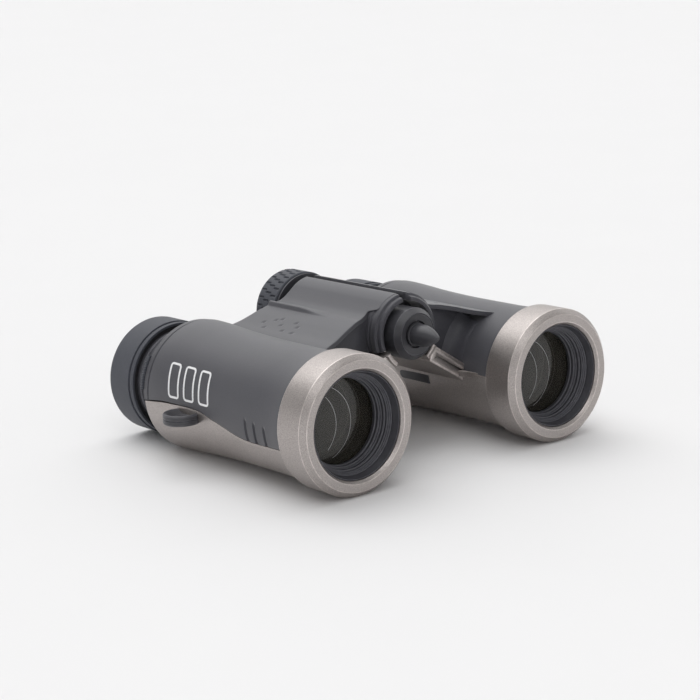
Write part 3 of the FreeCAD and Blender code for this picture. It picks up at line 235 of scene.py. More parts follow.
class Finish:
    """One material while it is built: its nodes and its shader."""

    def __init__(self, name, **fixed):
        self.material = bpy.data.materials.new(name)
        self.material.use_nodes = True
        self.tree = self.material.node_tree
        self.tree.nodes.clear()
        output = self.tree.nodes.new("ShaderNodeOutputMaterial")
        self.shader = self.tree.nodes.new("ShaderNodeBsdfPrincipled")
        self.tree.links.new(self.shader.outputs[0], output.inputs["Surface"])
        for label, value in fixed.items():
            self.feed(label.replace("_", " ").title().replace("Ior", "IOR"), value)

    def feed(self, label, value):
        """Sets or links one socket of the shader."""
        self._put(self.shader.inputs[label], value)

    def _put(self, socket, value):
        if isinstance(value, Value):
            self.tree.links.new(value.socket, socket)
        elif hasattr(socket.default_value, "__len__") and len(socket.default_value) == 4:
            socket.default_value = (*value, 1.0)
        else:
            socket.default_value = value

    def node(self, kind, settings, sockets, output=0):
        """Adds any node: its settings first, then the values or links of its sockets."""
        made = self.tree.nodes.new(kind)
        for label, value in settings.items():
            if label == "stops":
                ramp = made.color_ramp
                ramp.elements[0].position, ramp.elements[1].position = value[0][0], value[1][0]
                ramp.elements[0].color = (*[value[0][1]] * 3, 1.0)
                ramp.elements[1].color = (*[value[1][1]] * 3, 1.0)
            else:
                setattr(made, label, value)
        for key, value in sockets.items():
            self._put(made.inputs[key], value)
        return Value(self, made.outputs[output])

    def coordinates(self):
        return self.node("ShaderNodeTexCoord", {}, {}, "Object")

    def noise(self, size, detail=2.0, roughness=0.5):
        """Noise whose blotches are about this many metres across."""
        return self.node(
            "ShaderNodeTexNoise", {},
            {"Vector": self.coordinates(), "Scale": 1.0 / size, "Detail": detail, "Roughness": roughness})

    def cells(self, size):
        return self.node(
            "ShaderNodeTexVoronoi", {}, {"Vector": self.coordinates(), "Scale": 1.0 / size}, "Distance")

    def ramp(self, value, low, high, first=0.0, last=1.0):
        return self.node(
            "ShaderNodeMapRange", {"interpolation_type": "SMOOTHSTEP"},
            {"Value": value, "From Min": low, "From Max": high, "To Min": first, "To Max": last})

    def blend(self, share, first, second):
        """Mixes two colours."""
        return self.node("ShaderNodeMix", {"data_type": "RGBA"}, {0: share, 6: first, 7: second}, 2)

    def edge(self):
        """1 on the rounded edges of a piece, broken up by fine noise."""
        mark = self.node("ShaderNodeAttribute", {"attribute_name": "edge"}, {}, "Fac")
        return mark * self.ramp(self.noise(0.0012, 3.0), 0.35, 0.6, 0.45, 1.0)

    def bump(self, height, distance, strength=1.0):
        self.feed("Normal", self.node(
            "ShaderNodeBump", {}, {"Height": height, "Distance": distance, "Strength": strength}, "Normal"))


def shade(colour, factor):
    return tuple(min(1.0, channel * factor) for channel in colour)


def soft_touch_finish():
    """Matt elastic paint: fine grain, faint smudges, slightly polished edges."""
    colour = bpy.context.scene.binocular_finishes.soft_touch
    finish = Finish(
        "soft_touch_black", coat_weight=0.0, specular_ior_level=0.5, sheen_weight=0.38, sheen_roughness=0.45)
    grain = finish.noise(0.00022, 2.0, 0.7)
    smudge = finish.noise(0.011, 3.0)
    edge = finish.edge()
    tone = finish.blend(finish.ramp(grain, 0.35, 0.65), shade(colour, 0.86), shade(colour, 1.16))
    tone = finish.blend(finish.ramp(smudge, 0.4, 0.7) * 0.25, tone, shade(colour, 1.3))
    finish.feed("Base Color", finish.blend(edge * 0.35, tone, shade(colour, 1.9)))
    finish.feed("Roughness", 0.42 + 0.08 * smudge + 0.05 * grain - 0.08 * edge)
    finish.bump(grain + 0.25 * finish.noise(0.0006), 0.00002, 0.35)
    return finish.material


def paint_finish():
    """Metallic paint with a fine sparkle."""
    colour = bpy.context.scene.binocular_finishes.paint
    finish = Finish("warm_grey_paint", coat_roughness=0.25)
    sparkle = finish.cells(0.00020)
    grain = finish.noise(0.00024, 3.0, 0.7)
    cloud = finish.noise(0.008, 2.0)
    edge = finish.edge()
    tone = finish.blend(finish.ramp(grain, 0.32, 0.68), shade(colour, 0.78), shade(colour, 1.2))
    tone = finish.blend(finish.ramp(sparkle, 0.18, 0.05) * 0.45, tone, shade(colour, 1.9))
    finish.feed("Base Color", finish.blend(edge * 0.6, tone, shade(colour, 1.9)))
    finish.feed("Metallic", 0.86 + 0.10 * grain)
    finish.feed("Roughness", 0.33 + 0.10 * cloud + 0.08 * grain - 0.06 * edge)
    finish.feed("Coat Weight", 0.05 + 0.08 * cloud)
    finish.bump(grain, 0.00002, 0.30)
    return finish.material


def rubber_finish(name, factor=1.0):
    """Moulded rubber: dull, with a fine eroded grain and pale rubbed edges."""
    colour = shade(bpy.context.scene.binocular_finishes.rubber, factor)
    finish = Finish(name, specular_ior_level=0.42, sheen_weight=0.14, sheen_roughness=0.45)
    grain = finish.noise(0.0003, 3.0, 0.7)
    dust = finish.noise(0.006, 4.0, 0.6)
    edge = finish.edge()
    tone = finish.blend(finish.ramp(grain, 0.3, 0.7), shade(colour, 0.85), shade(colour, 1.15))
    tone = finish.blend(finish.ramp(dust, 0.5, 0.75) * 0.25, tone, shade(colour, 1.5))
    finish.feed("Base Color", finish.blend(edge * 0.3, tone, shade(colour, 1.8)))
    finish.feed("Roughness", 0.60 + 0.14 * grain - 0.05 * edge)
    finish.bump(grain, 0.00003, 0.4)
    return finish.material


def satin_finish(name, factor, roughness, metallic=0.0):
    """Smooth black plastic or anodised metal with a fine grain and a faint haze."""
    colour = shade(bpy.context.scene.binocular_finishes.satin, factor)
    finish = Finish(name, metallic=metallic)
    grain = finish.noise(0.0004, 2.0)
    haze = finish.noise(0.004, 3.0)
    edge = finish.edge()
    tone = finish.blend(finish.ramp(haze, 0.4, 0.7) * 0.4, colour, shade(colour, 1.35))
    finish.feed("Base Color", finish.blend(edge * 0.6, tone, shade(colour, 3.2)))
    finish.feed("Roughness", roughness + 0.10 * haze + 0.05 * grain)
    finish.bump(grain, 0.000015, 0.25)
    return finish.material


def metal_finish(name, colour, roughness):
    """Bare machined metal with faint scratches."""
    finish = Finish(name, metallic=1.0)
    scratch = finish.noise(0.0009, 5.0, 0.7)
    finish.feed("Base Color", finish.blend(finish.ramp(scratch, 0.3, 0.7), shade(colour, 0.8), shade(colour, 1.1)))
    finish.feed("Roughness", roughness + 0.15 * scratch)
    finish.bump(scratch, 0.00001, 0.3)
    return finish.material


def lens_finish():
    """Coated glass: dark and brownish, partly clear, with a strong gloss."""
    colour = bpy.context.scene.binocular_finishes.coating
    finish = Finish("coated_glass", ior=1.52, coat_weight=0.6, coat_roughness=0.03, specular_ior_level=0.4)
    haze = finish.noise(0.006, 2.0)
    finish.feed("Base Color", finish.blend(finish.ramp(haze, 0.3, 0.7), shade(colour, 0.85), shade(colour, 1.2)))
    finish.feed("Roughness", 0.06 + 0.04 * haze)
    finish.feed("Alpha", 0.58 + 0.05 * haze)
    return finish.material


def prism_finish():
    finish = Finish("prism_glass", ior=1.57, roughness=0.04)
    haze = finish.noise(0.005, 2.0)
    finish.feed("Base Color", finish.blend(haze, (0.12, 0.13, 0.13), (0.2, 0.22, 0.21)))
    finish.feed("Alpha", 0.40 + 0.1 * haze)
    return finish.material


def mark_finish():
    """Printed white ink with a slightly uneven edge."""
    colour = bpy.context.scene.binocular_finishes.mark
    finish = Finish("white_print")
    grain = finish.noise(0.0003, 3.0)
    finish.feed("Base Color", finish.blend(finish.ramp(grain, 0.25, 0.6), shade(colour, 0.82), colour))
    finish.feed("Roughness", 0.5 + 0.1 * grain)
    return finish.material


PRINT = "white_print"
FINISH_MAKERS = {
    "soft_touch_black": soft_touch_finish,
    "warm_grey_paint": paint_finish,
    "eyecup_rubber": lambda: rubber_finish("eyecup_rubber"),
    "wheel_rubber": lambda: rubber_finish("wheel_rubber", 1.05),
    "black_anodised": lambda: satin_finish("black_anodised", 4.6, 0.36, 0.25),
    "satin_black": lambda: satin_finish("satin_black", 3.2, 0.30),
    "wheel_plastic": lambda: satin_finish("wheel_plastic", 1.2, 0.38),
    "inner_plastic": lambda: satin_finish("inner_plastic", 1.0, 0.50),
    "cast_aluminium": lambda: metal_finish("cast_aluminium", (0.10, 0.10, 0.11), 0.5),
    "steel": lambda: metal_finish("steel", (0.42, 0.42, 0.43), 0.28),
    "brass": lambda: metal_finish("brass", (0.62, 0.46, 0.20), 0.30),
    "coated_glass": lens_finish,
    "prism_glass": prism_finish,
    PRINT: mark_finish,
}


# Steel given a dark plastic finish as painted shade, because it shows in the shaded gap between black pieces.
GAP_SHADE_FINISHES = {"hinge_tube": "inner_plastic"}
MADE_FINISHES = {}


def finish_for(slot):
    """The finish of a slot, built the first time it is wanted."""
    if slot not in MADE_FINISHES:
        MADE_FINISHES[slot] = FINISH_MAKERS[slot]()
    return MADE_FINISHES[slot]


# ---------------------------------------------------------------- shaping

def through(points, at):
    """A smooth curve through (place, value) points, which never overshoots them."""
    if at <= points[0][0]:
        return points[0][1]
    if at >= points[-1][0]:
        return points[-1][1]
    for index in range(len(points) - 1):
        if at <= points[index + 1][0]:
            break
    slopes = [
        (points[n + 1][1] - points[n][1]) / (points[n + 1][0] - points[n][0])
        for n in range(max(0, index - 1), min(len(points) - 1, index + 2))
    ]
    here = (points[index + 1][1] - points[index][1]) / (points[index + 1][0] - points[index][0])
    before = slopes[0] if index > 0 else here
    after = slopes[-1] if index < len(points) - 2 else here
    enter = (before + here) / 2 if before * here > 0 else 0.0
    leave = (here + after) / 2 if after * here > 0 else 0.0
    width = points[index + 1][0] - points[index][0]
    t = (at - points[index][0]) / width
    return (
        points[index][1] * (2 * t ** 3 - 3 * t ** 2 + 1)
        + points[index + 1][1] * (3 * t ** 2 - 2 * t ** 3)
        + width * enter * (t ** 3 - 2 * t ** 2 + t)
        + width * leave * (t ** 3 - t ** 2)
    )


def step(low, high, at):
    """0 below low, 1 above high, smooth between."""
    t = min(1.0, max(0.0, (at - low) / (high - low)))
    return t * t * (3 - 2 * t)


def spaced(*runs):
    """Values from one run to the next: each run is (start, pitch), and the last is the end alone."""
    values = []
    for (start, pitch), following in zip(runs, runs[1:]):
        end = following[0]
        count = max(1, round((end - start) / pitch))
        values += [start + (end - start) * n / count for n in range(count)]
    return values + [runs[-1][0]]


def around(centre, radius, angle, y):
    """A point round an axis along Y, by its angle in degrees from +X towards +Z."""
    turn = math.radians(angle)
    return Vector((centre[0] + radius * math.cos(turn), y, centre[1] + radius * math.sin(turn)))


def skin(across, along, place):
    """A sheet of quads over two lists of values. place gives each corner."""
    bm = bmesh.new()
    bmesh.ops.create_grid(bm, x_segments=len(across) - 1, y_segments=len(along) - 1, size=1)
    for vert in bm.verts:
        column = round((vert.co.x + 1) / 2 * (len(across) - 1))
        row = round((vert.co.y + 1) / 2 * (len(along) - 1))
        vert.co = place(across[column], along[row])
    bm.normal_update()
    return bm


def walled(bm, outward, thickness):
    """Turns a sheet to face outward (a direction or a point inside) and gives it a wall behind."""
    face = max(bm.faces, key=lambda f: f.calc_area())
    if face.normal.dot(outward(face.calc_center_median())) < 0:
        bmesh.ops.reverse_faces(bm, faces=bm.faces[:])
    bmesh.ops.solidify(bm, geom=bm.faces[:], thickness=thickness)
    return bm


def spun(outline, centre=(0.0, 0.0), steps=128, start=0.0, sweep=360.0):
    """Turns an outline of (radius, station) about an axis along Y. An outline that starts and ends on the axis is
    left open there. A part turn has its two ends filled."""
    bm = bmesh.new()
    verts = [bm.verts.new(around(centre, radius, start, y)) for radius, y in outline]
    open_ended = outline[0][0] == 0 and outline[-1][0] == 0
    pairs = list(zip(verts, verts[1:])) + ([] if open_ended else [(verts[-1], verts[0])])
    edges = [bm.edges.new(pair) for pair in pairs]
    full = sweep == 360.0
    bmesh.ops.spin(
        bm, geom=verts + edges, cent=(centre[0], 0, centre[1]), axis=(0, -1, 0), dvec=(0, 0, 0),
        angle=math.radians(sweep), steps=steps, use_merge=full, use_duplicate=False)
    if not full:
        bmesh.ops.holes_fill(bm, edges=[e for e in bm.edges if e.is_boundary], sides=0)
    bmesh.ops.remove_doubles(bm, verts=bm.verts[:], dist=0.0005)
    bmesh.ops.recalc_face_normals(bm, faces=bm.faces[:])
    return bm


def slab(corners, front, rear):
    """A block with the same (x, z) corners from one station to another."""
    bm = bmesh.new()
    face = bm.faces.new([bm.verts.new((x, front, z)) for x, z in corners])
    made = bmesh.ops.extrude_face_region(bm, geom=[face])
    moved = [item for item in made["geom"] if isinstance(item, bmesh.types.BMVert)]
    bmesh.ops.translate(bm, verts=moved, vec=(0, rear - front, 0))
    bmesh.ops.recalc_face_normals(bm, faces=bm.faces[:])
    return bm


def rounded(bm, width, segments=2, angle=30.0):
    """Rounds every edge sharper than an angle, and marks the rounding for the finishes."""
    layer = bm.faces.layers.float.get("edge") or bm.faces.layers.float.new("edge")
    limit = math.radians(angle)
    sharp = [e for e in bm.edges if len(e.link_faces) == 2 and e.calc_face_angle(0.0) > limit]
    made = bmesh.ops.bevel(
        bm, geom=sharp, offset=width, offset_type="OFFSET", segments=segments, profile=0.5, affect="EDGES",
        clamp_overlap=True, material=-1)
    for face in made["faces"]:
        face[layer] = 1.0
    return bm


def joined(*parts):
    """Puts several closed forms into one."""
    whole = parts[0]
    for part in parts[1:]:
        spare = bpy.data.meshes.new("spare")
        part.to_mesh(spare)
        part.free()
        whole.from_mesh(spare)
        bpy.data.meshes.remove(spare)
    return whole


CRISP = 9.0


def finished(name, bm, side, body, slot, replaces=(), sharp=34.0):
    """Takes a form from millimetres to its place in the frame, and makes it a piece that rides on a body."""
    bmesh.ops.scale(bm, vec=(side * MM, MM, MM), verts=bm.verts[:])
    bmesh.ops.translate(bm, vec=(0, FRONT * MM, 0), verts=bm.verts[:])
    if side == RIGHT:
        bmesh.ops.reverse_faces(bm, faces=bm.faces[:])
    mesh = bpy.data.meshes.new(name)
    bm.to_mesh(mesh)
    bm.free()
    mesh.polygons.foreach_set("use_smooth", [True] * len(mesh.polygons))
    mesh.set_sharp_from_angle(angle=math.radians(sharp))
    mesh.materials.append(finish_for(slot))
    piece = bpy.data.objects.new(name, mesh)
    bpy.context.scene.collection.objects.link(piece)
    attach(piece, body)
    if replaces:
        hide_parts(*replaces)
    return piece


# ---------------------------------------------------------------- shells

def barrel_radius(y):
    return through(BARREL_PROFILE, y)


def height_angle(y, height):
    """Angle round the barrel, on its outer side, of a point at this height."""
    return math.degrees(math.asin((height - BARREL_Z) / barrel_radius(y)))


def rim_drop(y):
    """Groove and step in the upper shell's rear rim."""
    groove = step(63.1, 63.35, y) - step(63.95, 64.2, y)
    return 0.5 * groove + 0.28 * step(63.95, 64.2, y)


SLOT_STATIONS = (24.0, 20.6, 16.6)
SLOT_TOP_ANGLES = (1.5, 0.0, -1.5)


def slot_drop(y, angle, settings):
    """Depth of the grip slots at a place on the barrel."""
    half = settings.slot_width / MM / 2
    drop = 0.0
    for centre, top in zip(SLOT_STATIONS, SLOT_TOP_ANGLES):
        across = 1 - step(half * 0.55, half * 1.25, abs(y - centre))
        drop = max(drop, across * (1 - step(top - 1.2, top + 1.2, angle)))
    return drop * settings.slot_depth / MM


def barrel_skin(upper, settings):
    """The upper or the lower skin of a barrel, between the outer and the inner seam."""
    stations = spaced((BODY_FRONT, 0.8), (15.6, 0.17), (25.0, 0.8), (62.6, 0.17), (BODY_REAR, 1))

    def place(y, share):
        seam = height_angle(y, through(OUTER_SEAM, y))
        gap = math.degrees(SEAM_GAP * (0.5 + 0.6 * step(48, 58, y)) / barrel_radius(y))
        if upper:
            first, last = seam + gap, INNER_SEAM_ANGLE - gap
        else:
            first, last = seam - gap, INNER_SEAM_ANGLE - 360 + gap
        angle = first + (last - first) * share
        radius = barrel_radius(y)
        if upper:
            radius -= rim_drop(y) + slot_drop(y, angle, settings)
        else:
            radius -= 0.35 * step(64.9, BODY_REAR, y)
            radius += 0.35 * (1 - step(4, 13, angle + 360 - INNER_SEAM_ANGLE)) * step(11, 17, y)
        return around(BARREL, radius, angle, y)

    shares = spaced((0.0, 0.009), (0.12, 0.014), (1.0, 1)) if upper else spaced((0.0, 0.014), (1.0, 1))
    bm = skin(stations, shares, place)
    walled(bm, lambda at: at - Vector((BARREL_X, at.y, BARREL_Z)), settings.wall / MM)
    return rounded(bm, 0.12, angle=70.0)


def plate_front(x):
    """Station of the arm's front edge: level across the hub, then slanting forward to the barrel."""
    slant = 24.6 + (x - 11.0) * (18.4 - 24.6) / 16.5
    return 22.6 + (slant - 22.6) * step(7.3, 8.5, x)


def arm_height(x, y, settings):
    """Height of the arm's top."""
    if x < ARM_SECTION[0][0]:
        height = HINGE_Z + math.sqrt(HUB_RADIUS ** 2 - x ** 2)
    else:
        height = through(ARM_SECTION, x)
    fade = step(34.0, 47.0, y)
    ridge = step(11.0, RIDGE_AT - 0.1, x) * (1 - step(RIDGE_AT, RIDGE_AT + 0.75, x))
    height += settings.ridge_height / MM * fade * ridge
    radius = settings.dimple_radius / MM
    for dimple_x, dimple_y in DIMPLES:
        away = math.hypot(x - dimple_x, y - dimple_y) / radius
        if away < 1:
            height -= settings.dimple_depth / MM * (1 - away * away) ** 2
    return height


def arm_skin(settings):
    """The top of the arm from the gap over the hinge to the barrel."""
    across = spaced((HALF_GAP, 0.35), (13.4, 0.1), (15.0, 0.24), (25.6, 0.5), (30.5, 1))
    along = spaced((0.0, 0.7), (14.0, 0.26), (29.5, 0.6), (36.4, 1))

    def place(x, travel):
        start, bend = plate_front(x), HUB_FRONT + 2.2 + 13.0
        y = start + (bend - start) * travel / 13.0 if travel < 13.0 else bend + travel - 13.0
        y = min(y, HUB_REAR + 0.25)
        return Vector((x, y, arm_height(x, y, settings)))

    bm = skin(across, along, place)
    walled(bm, lambda at: Vector((0.2, 0, 1)), settings.plate_edge / MM)
    bmesh.ops.remove_doubles(bm, verts=bm.verts[:], dist=0.001)
    return rounded(bm, 0.16, angle=60.0)


def hub_collar():
    """The stepped front of the hub, from the gap at the top round to the seam below."""
    outer = HUB_RADIUS - 0.06
    outline = [
        (8.0, HUB_FRONT), (outer - 1.0, HUB_FRONT), (outer - 0.75, 20.5), (outer - 0.7, 21.25), (outer, 21.5),
        (outer, 22.9), (outer - 0.22, 23.0), (outer - 0.22, 24.0), (outer, 24.1), (outer, 26.0), (8.0, 26.0),
    ]
    return rounded(spun(outline, HINGE, 64, -24.0, 105.5), 0.06, angle=25.0)


def hub_side():
    """The hub's wall behind the collar, under the arm's top."""
    outline = [(8.0, 25.5), (HUB_RADIUS - 0.12, 25.5), (HUB_RADIUS - 0.12, HUB_REAR), (8.0, HUB_REAR)]
    return rounded(spun(outline, HINGE, 64, -24.0, 105.5), 0.15, angle=50.0)


def wall_fillet():
    """Where the arm's front wall sweeps forward on to the barrel."""
    outline = [
        (15.3, 20.2), (15.86, 20.2), (16.0, 21.5), (16.35, 22.7), (16.95, 23.7), (17.8, 24.45), (19.0, 24.9),
        (19.0, 25.9), (15.3, 25.9),
    ]
    return rounded(spun(outline, BARREL, 40, 125.0, 49.5), 0.1, angle=60.0)


def arm_wall(front, rear):
    corners = [
        (8.2, 27.2), (9.0, 35.7), (11.3, 35.2), (15.0, 34.5), (18.4, 33.6), (23.4, 32.1), (26.6, 31.2), (27.5, 28.0),
        (18.4, 19.6),
    ]
    return rounded(slab(corners, front, rear), 0.15, angle=30.0)


def strut():
    """The lower arm, with a long slot sunk in its front face."""
    corners = [(7.6, 27.0), (17.9, 20.3), (19.2, 18.6), (18.0, 15.0), (16.2, 16.75), (5.95, 23.0)]
    bm = slab(corners, 19.2, HUB_REAR)
    bm = rounded(bm, 0.5, 3, 30.0)
    front = min((f for f in bm.faces if abs(f.normal.y) > 0.9), key=lambda f: f.calc_center_median().y)
    bmesh.ops.inset_region(bm, faces=[front], thickness=1.65, use_boundary=True, use_even_offset=True)
    made = bmesh.ops.extrude_face_region(bm, geom=[front])
    moved = [item for item in made["geom"] if isinstance(item, bmesh.types.BMVert)]
    bmesh.ops.translate(bm, verts=moved, vec=(0, 3.5, 0))
    return bm


def strut_flare():
    """A lip on the barrel that carries the strut's lower edge forward to the ring."""
    outline = [
        (15.2, 11.0), (15.98, 11.0), (16.05, 14.0), (16.3, 16.4), (16.8, 18.2), (17.5, 19.3), (17.5, 20.2), (15.2, 20.2)]
    return rounded(spun(outline, BARREL, 12, 174.5, 5.5), 0.25, 3, 40.0)


def hub_wrap():
    """The band of the lower shell that goes round the hinge from below."""
    outline = [(7.9, 19.1), (8.25, 18.7), (9.1, 18.7), (9.55, 19.4), (9.55, HUB_REAR), (7.9, HUB_REAR)]
    return rounded(spun(outline, HINGE, 24, -54.5, 25.0), 0.12, angle=30.0)


def recessed_plate():
    """A small blank plate let into the inner side of the lower shell."""
    frame_outline = [(15.6, 33.0), (16.05, 33.0), (16.05, 46.0), (15.6, 46.0)]
    return rounded(spun(frame_outline, BARREL, 12, -172.5, 8.6), 0.12, angle=50.0)


def strap_lug():
    """A thick dished disc on a stem, with a groove round its rim and a hole for the cord."""
    low, high = LUG_LOW.z, LUG_HIGH.z
    middle = (low + high) / 2
    radius = 4.65
    centre_x = LUG_HIGH.x - radius
    centre_y = station((LUG_LOW.y + LUG_HIGH.y) / 2)
    outline = [
        (1.6, low + 0.5), (1.9, low), (radius - 0.3, low), (radius, low + 0.3), (radius, middle - 0.15),
        (radius - 0.25, middle - 0.1), (radius - 0.25, middle + 0.1), (radius, middle + 0.15), (radius, high - 0.3),
        (radius - 0.3, high), (radius - 0.75, high), (2.6, high - 0.95), (1.75, high - 1.1), (1.6, high - 1.3),
    ]
    disc = rounded(spun(outline, (0.0, 0.0), 72), 0.08, angle=28.0)
    bmesh.ops.rotate(disc, verts=disc.verts[:], cent=(0, 0, 0), matrix=Matrix.Rotation(math.radians(90), 3, "X"))
    bmesh.ops.translate(disc, verts=disc.verts[:], vec=(centre_x, centre_y, 0))
    stem = slab([
        (47.0, low + 0.1), (centre_x - 1.9, low + 0.1), (centre_x - 1.9, high - 1.2), (47.0, high - 1.2)],
        centre_y - 3.6, centre_y + 3.6)
    return joined(disc, rounded(stem, 0.2, angle=50.0))


def outline_bar(first, last, low, high, lean, stroke):
    """A printed outline of a leaning bar, wrapped on the barrel's outer side. It runs between two stations and two
    heights round the barrel, given in degrees."""
    bm = bmesh.new()
    arc = math.radians(1) * barrel_radius(47.0)
    corners = [
        (first, low * arc), (last, low * arc), (last + lean, high * arc), (first + lean, high * arc)]
    face = bm.faces.new([bm.verts.new((x, y, 0)) for x, y in corners])
    bmesh.ops.bevel(
        bm, geom=face.verts[:], offset=1.0, offset_type="OFFSET", segments=5, profile=0.5, affect="VERTICES",
        clamp_overlap=True, material=-1)
    face = bm.faces[:][0]
    bmesh.ops.inset_region(bm, faces=[face], thickness=stroke, use_boundary=True, use_even_offset=True)
    bmesh.ops.delete(bm, geom=[face], context="FACES")
    long_edges = [e for e in bm.edges if e.calc_length() > 1.5]
    bmesh.ops.subdivide_edges(bm, edges=long_edges, cuts=9, use_grid_fill=True)
    for vert in bm.verts:
        y, angle = vert.co.x, vert.co.y / arc
        vert.co = around(BARREL, barrel_radius(y) + 0.05, angle, y)
    bm.normal_update()
    return walled(bm, lambda at: at - Vector((BARREL_X, at.y, BARREL_Z)), 0.09)


def painted_reflection_arcs(side):
    """Painted reflections: two thin pale arcs on the glass, on the same hand in both barrels, standing in for
    reflections in the lens.
    """
    arcs = []
    for shift, reach in ((6.1, 66.0), (10.6, 43.0)):
        middle = 0.0 if side == LEFT else 180.0
        centre = (BARREL_X - side * shift, BARREL_Z)
        outline = [(9.45, -0.02), (9.55, -0.02), (9.55, 0.06), (9.45, 0.06)]
        arc = spun(outline, centre, 40, middle - reach, 2 * reach)
        for vert in arc.verts:
            vert.co.y += lens_face(math.hypot(vert.co.x - BARREL_X, vert.co.z - BARREL_Z))
        arcs.append(arc)
    return joined(*arcs)


class BINOCULARS_OT_upper_shells(bpy.types.Operator):
    """Black upper shells with hub cover, arm and barrel"""
    bl_idname = "binoculars.upper_shells"
    bl_label = "Upper shells"

    def execute(self, context):
        settings = context.scene.binocular_shells
        for side_name, side in SIDES.items():
            form = joined(
                barrel_skin(True, settings), arm_skin(settings), hub_collar(), hub_side(), wall_fillet(),
                arm_wall(25.0, 26.3), arm_wall(56.6, 57.9))
            finished(
                f"{side_name}_shell_top", form, side, f"{side_name}_half", "soft_touch_black",
                [f"{side_name}_upper_shell"])
        return {"FINISHED"}


class BINOCULARS_OT_lower_shells(bpy.types.Operator):
    """Painted lower shells with strut and hub wrap, and the blank plate"""
    bl_idname = "binoculars.lower_shells"
    bl_label = "Lower shells"

    def execute(self, context):
        settings = context.scene.binocular_shells
        for side_name, side in SIDES.items():
            form = joined(barrel_skin(False, settings), strut(), strut_flare(), hub_wrap())
            finished(
                f"{side_name}_shell_bottom", form, side, f"{side_name}_half", "warm_grey_paint",
                [f"{side_name}_lower_shell"])
        finished("left_blank_plate", recessed_plate(), LEFT, "left_half", "satin_black")
        return {"FINISHED"}


class BINOCULARS_OT_strap_lugs(bpy.types.Operator):
    """Strap lugs on the outer sides"""
    bl_idname = "binoculars.strap_lugs"
    bl_label = "Strap lugs"

    def execute(self, context):
        for side_name, side in SIDES.items():
            finished(
                f"{side_name}_lug", strap_lug(), side, f"{side_name}_half", "satin_black",
                [f"{side_name}_strap_lug"])
        return {"FINISHED"}


class BINOCULARS_OT_side_mark(bpy.types.Operator):
    """Three leaning outline bars printed on the right barrel"""
    bl_idname = "binoculars.side_mark"
    bl_label = "Side mark"

    def execute(self, context):
        stroke = context.scene.binocular_shells.mark_stroke / MM
        bars = [outline_bar(start, start + 4.2, 4.0, 35.0, 1.6, stroke) for start in (38.6, 44.6, 50.6)]
        finished("right_printed_bars", joined(*bars), RIGHT, "right_half", PRINT)
        return {"FINISHED"}


# ---------------------------------------------------------------- optics and eyecups

def objective_ring():
    radius, length = RING_RADIUS, RING_LENGTH
    outline = [
        (13.2, 0.75), (13.85, 0.05), (15.85, 0.0), (radius, 1.4), (radius, length - 0.35), (radius - 0.35, length),
        (15.2, length), (15.2, 2.7), (13.2, 2.7),
    ]
    return rounded(spun(outline, BARREL, 160), 0.13, 3, 25.0)


def retainer():
    """Blackened sleeve in front of the lens, stepped like a screw thread against stray light."""
    outline = [(13.1, 8.0), (13.1, 1.0), (12.85, 0.9), (12.3, 2.6), (12.3, 3.0)]
    radius, y = 12.3, 3.0
    for drop, run in ((0.22, 0.45), (0.22, 0.45), (0.22, 0.75), (0.35, 0.9), (0.2, 0.5), (0.35, 0.95), (0.24, 0.5)):
        outline += [(radius - drop, y + 0.12), (radius - drop, y + run)]
        radius, y = radius - drop, y + run
    outline += [(10.5, 8.0)]
    return rounded(spun(outline, BARREL, 144), 0.05, 2, 40.0)


def lens_face(radius):
    """Station of the front lens's bulging face at a distance from its axis."""
    return 7.55 + (radius / 12.0) ** 2


def objective_lens():
    front = [(12.0 * n / 16, lens_face(12.0 * n / 16)) for n in range(17)]
    outline = front + [(12.0, 10.2), (0.0, 10.2)]
    return spun(outline, BARREL, 128)


def light_baffle():
    """Dark stepped tube behind the lens. Its bright-edged rings show through the glass."""
    outline = [
        (13.0, 10.3), (11.0, 10.3), (10.9, 12.4), (10.1, 12.5), (10.0, 15.6), (9.2, 15.7), (9.1, 18.2), (0.0, 18.4),
        (0.0, 19.2), (13.0, 19.2),
    ]
    return spun(outline, BARREL, 96)


def baffle_rings():
    """Thin bare edges of the steps in the light baffle."""
    rings = []
    for radius, y in ((10.1, 12.42), (9.2, 15.62)):
        outline = [(radius - 0.12, y - 0.1), (radius, y - 0.16), (radius + 0.06, y), (radius - 0.12, y + 0.06)]
        rings.append(spun(outline, BARREL, 96))
    return joined(*rings)


def eyecup():
    """Rubber cup: thin front lip, shallow groove, straight band and rounded mouth."""
    radius = CUP_RADIUS
    front, rear = station(CUP_LOW.y), station(CUP_HIGH.y)
    outline = [
        (13.98, front), (radius - 0.35, front), (radius - 0.25, front + 1.25), (radius - 0.6, front + 1.32),
        (radius - 0.6, front + 1.6), (radius, front + 1.7), (radius, rear - 0.9), (radius - 0.28, rear - 0.25),
        (radius - 0.9, rear), (12.3, rear), (11.5, rear - 0.35), (11.2, rear - 0.9), (11.2, rear - 1.2),
        (13.98, rear - 1.2),
    ]
    return rounded(spun(outline, BARREL, 144), 0.12, 2, 28.0)


def eyecup_guide():
    """Tube that the eyecup slides on, with fine circular ribs."""
    front, rear = station(GUIDE_LOW.y), station(GUIDE_HIGH.y)
    outline = [(12.4, rear), (12.4, front), (GUIDE_RADIUS, front)]
    y = BODY_REAR + 0.6
    while y < rear - 1.2:
        outline += [(GUIDE_RADIUS, y), (GUIDE_RADIUS - 0.22, y + 0.18), (GUIDE_RADIUS - 0.22, y + 0.5),
                    (GUIDE_RADIUS, y + 0.68)]
        y += 2.1
    outline += [(GUIDE_RADIUS, rear - 0.2), (GUIDE_RADIUS - 0.2, rear)]
    return rounded(spun(outline, BARREL, 112), 0.05, 1, 40.0)


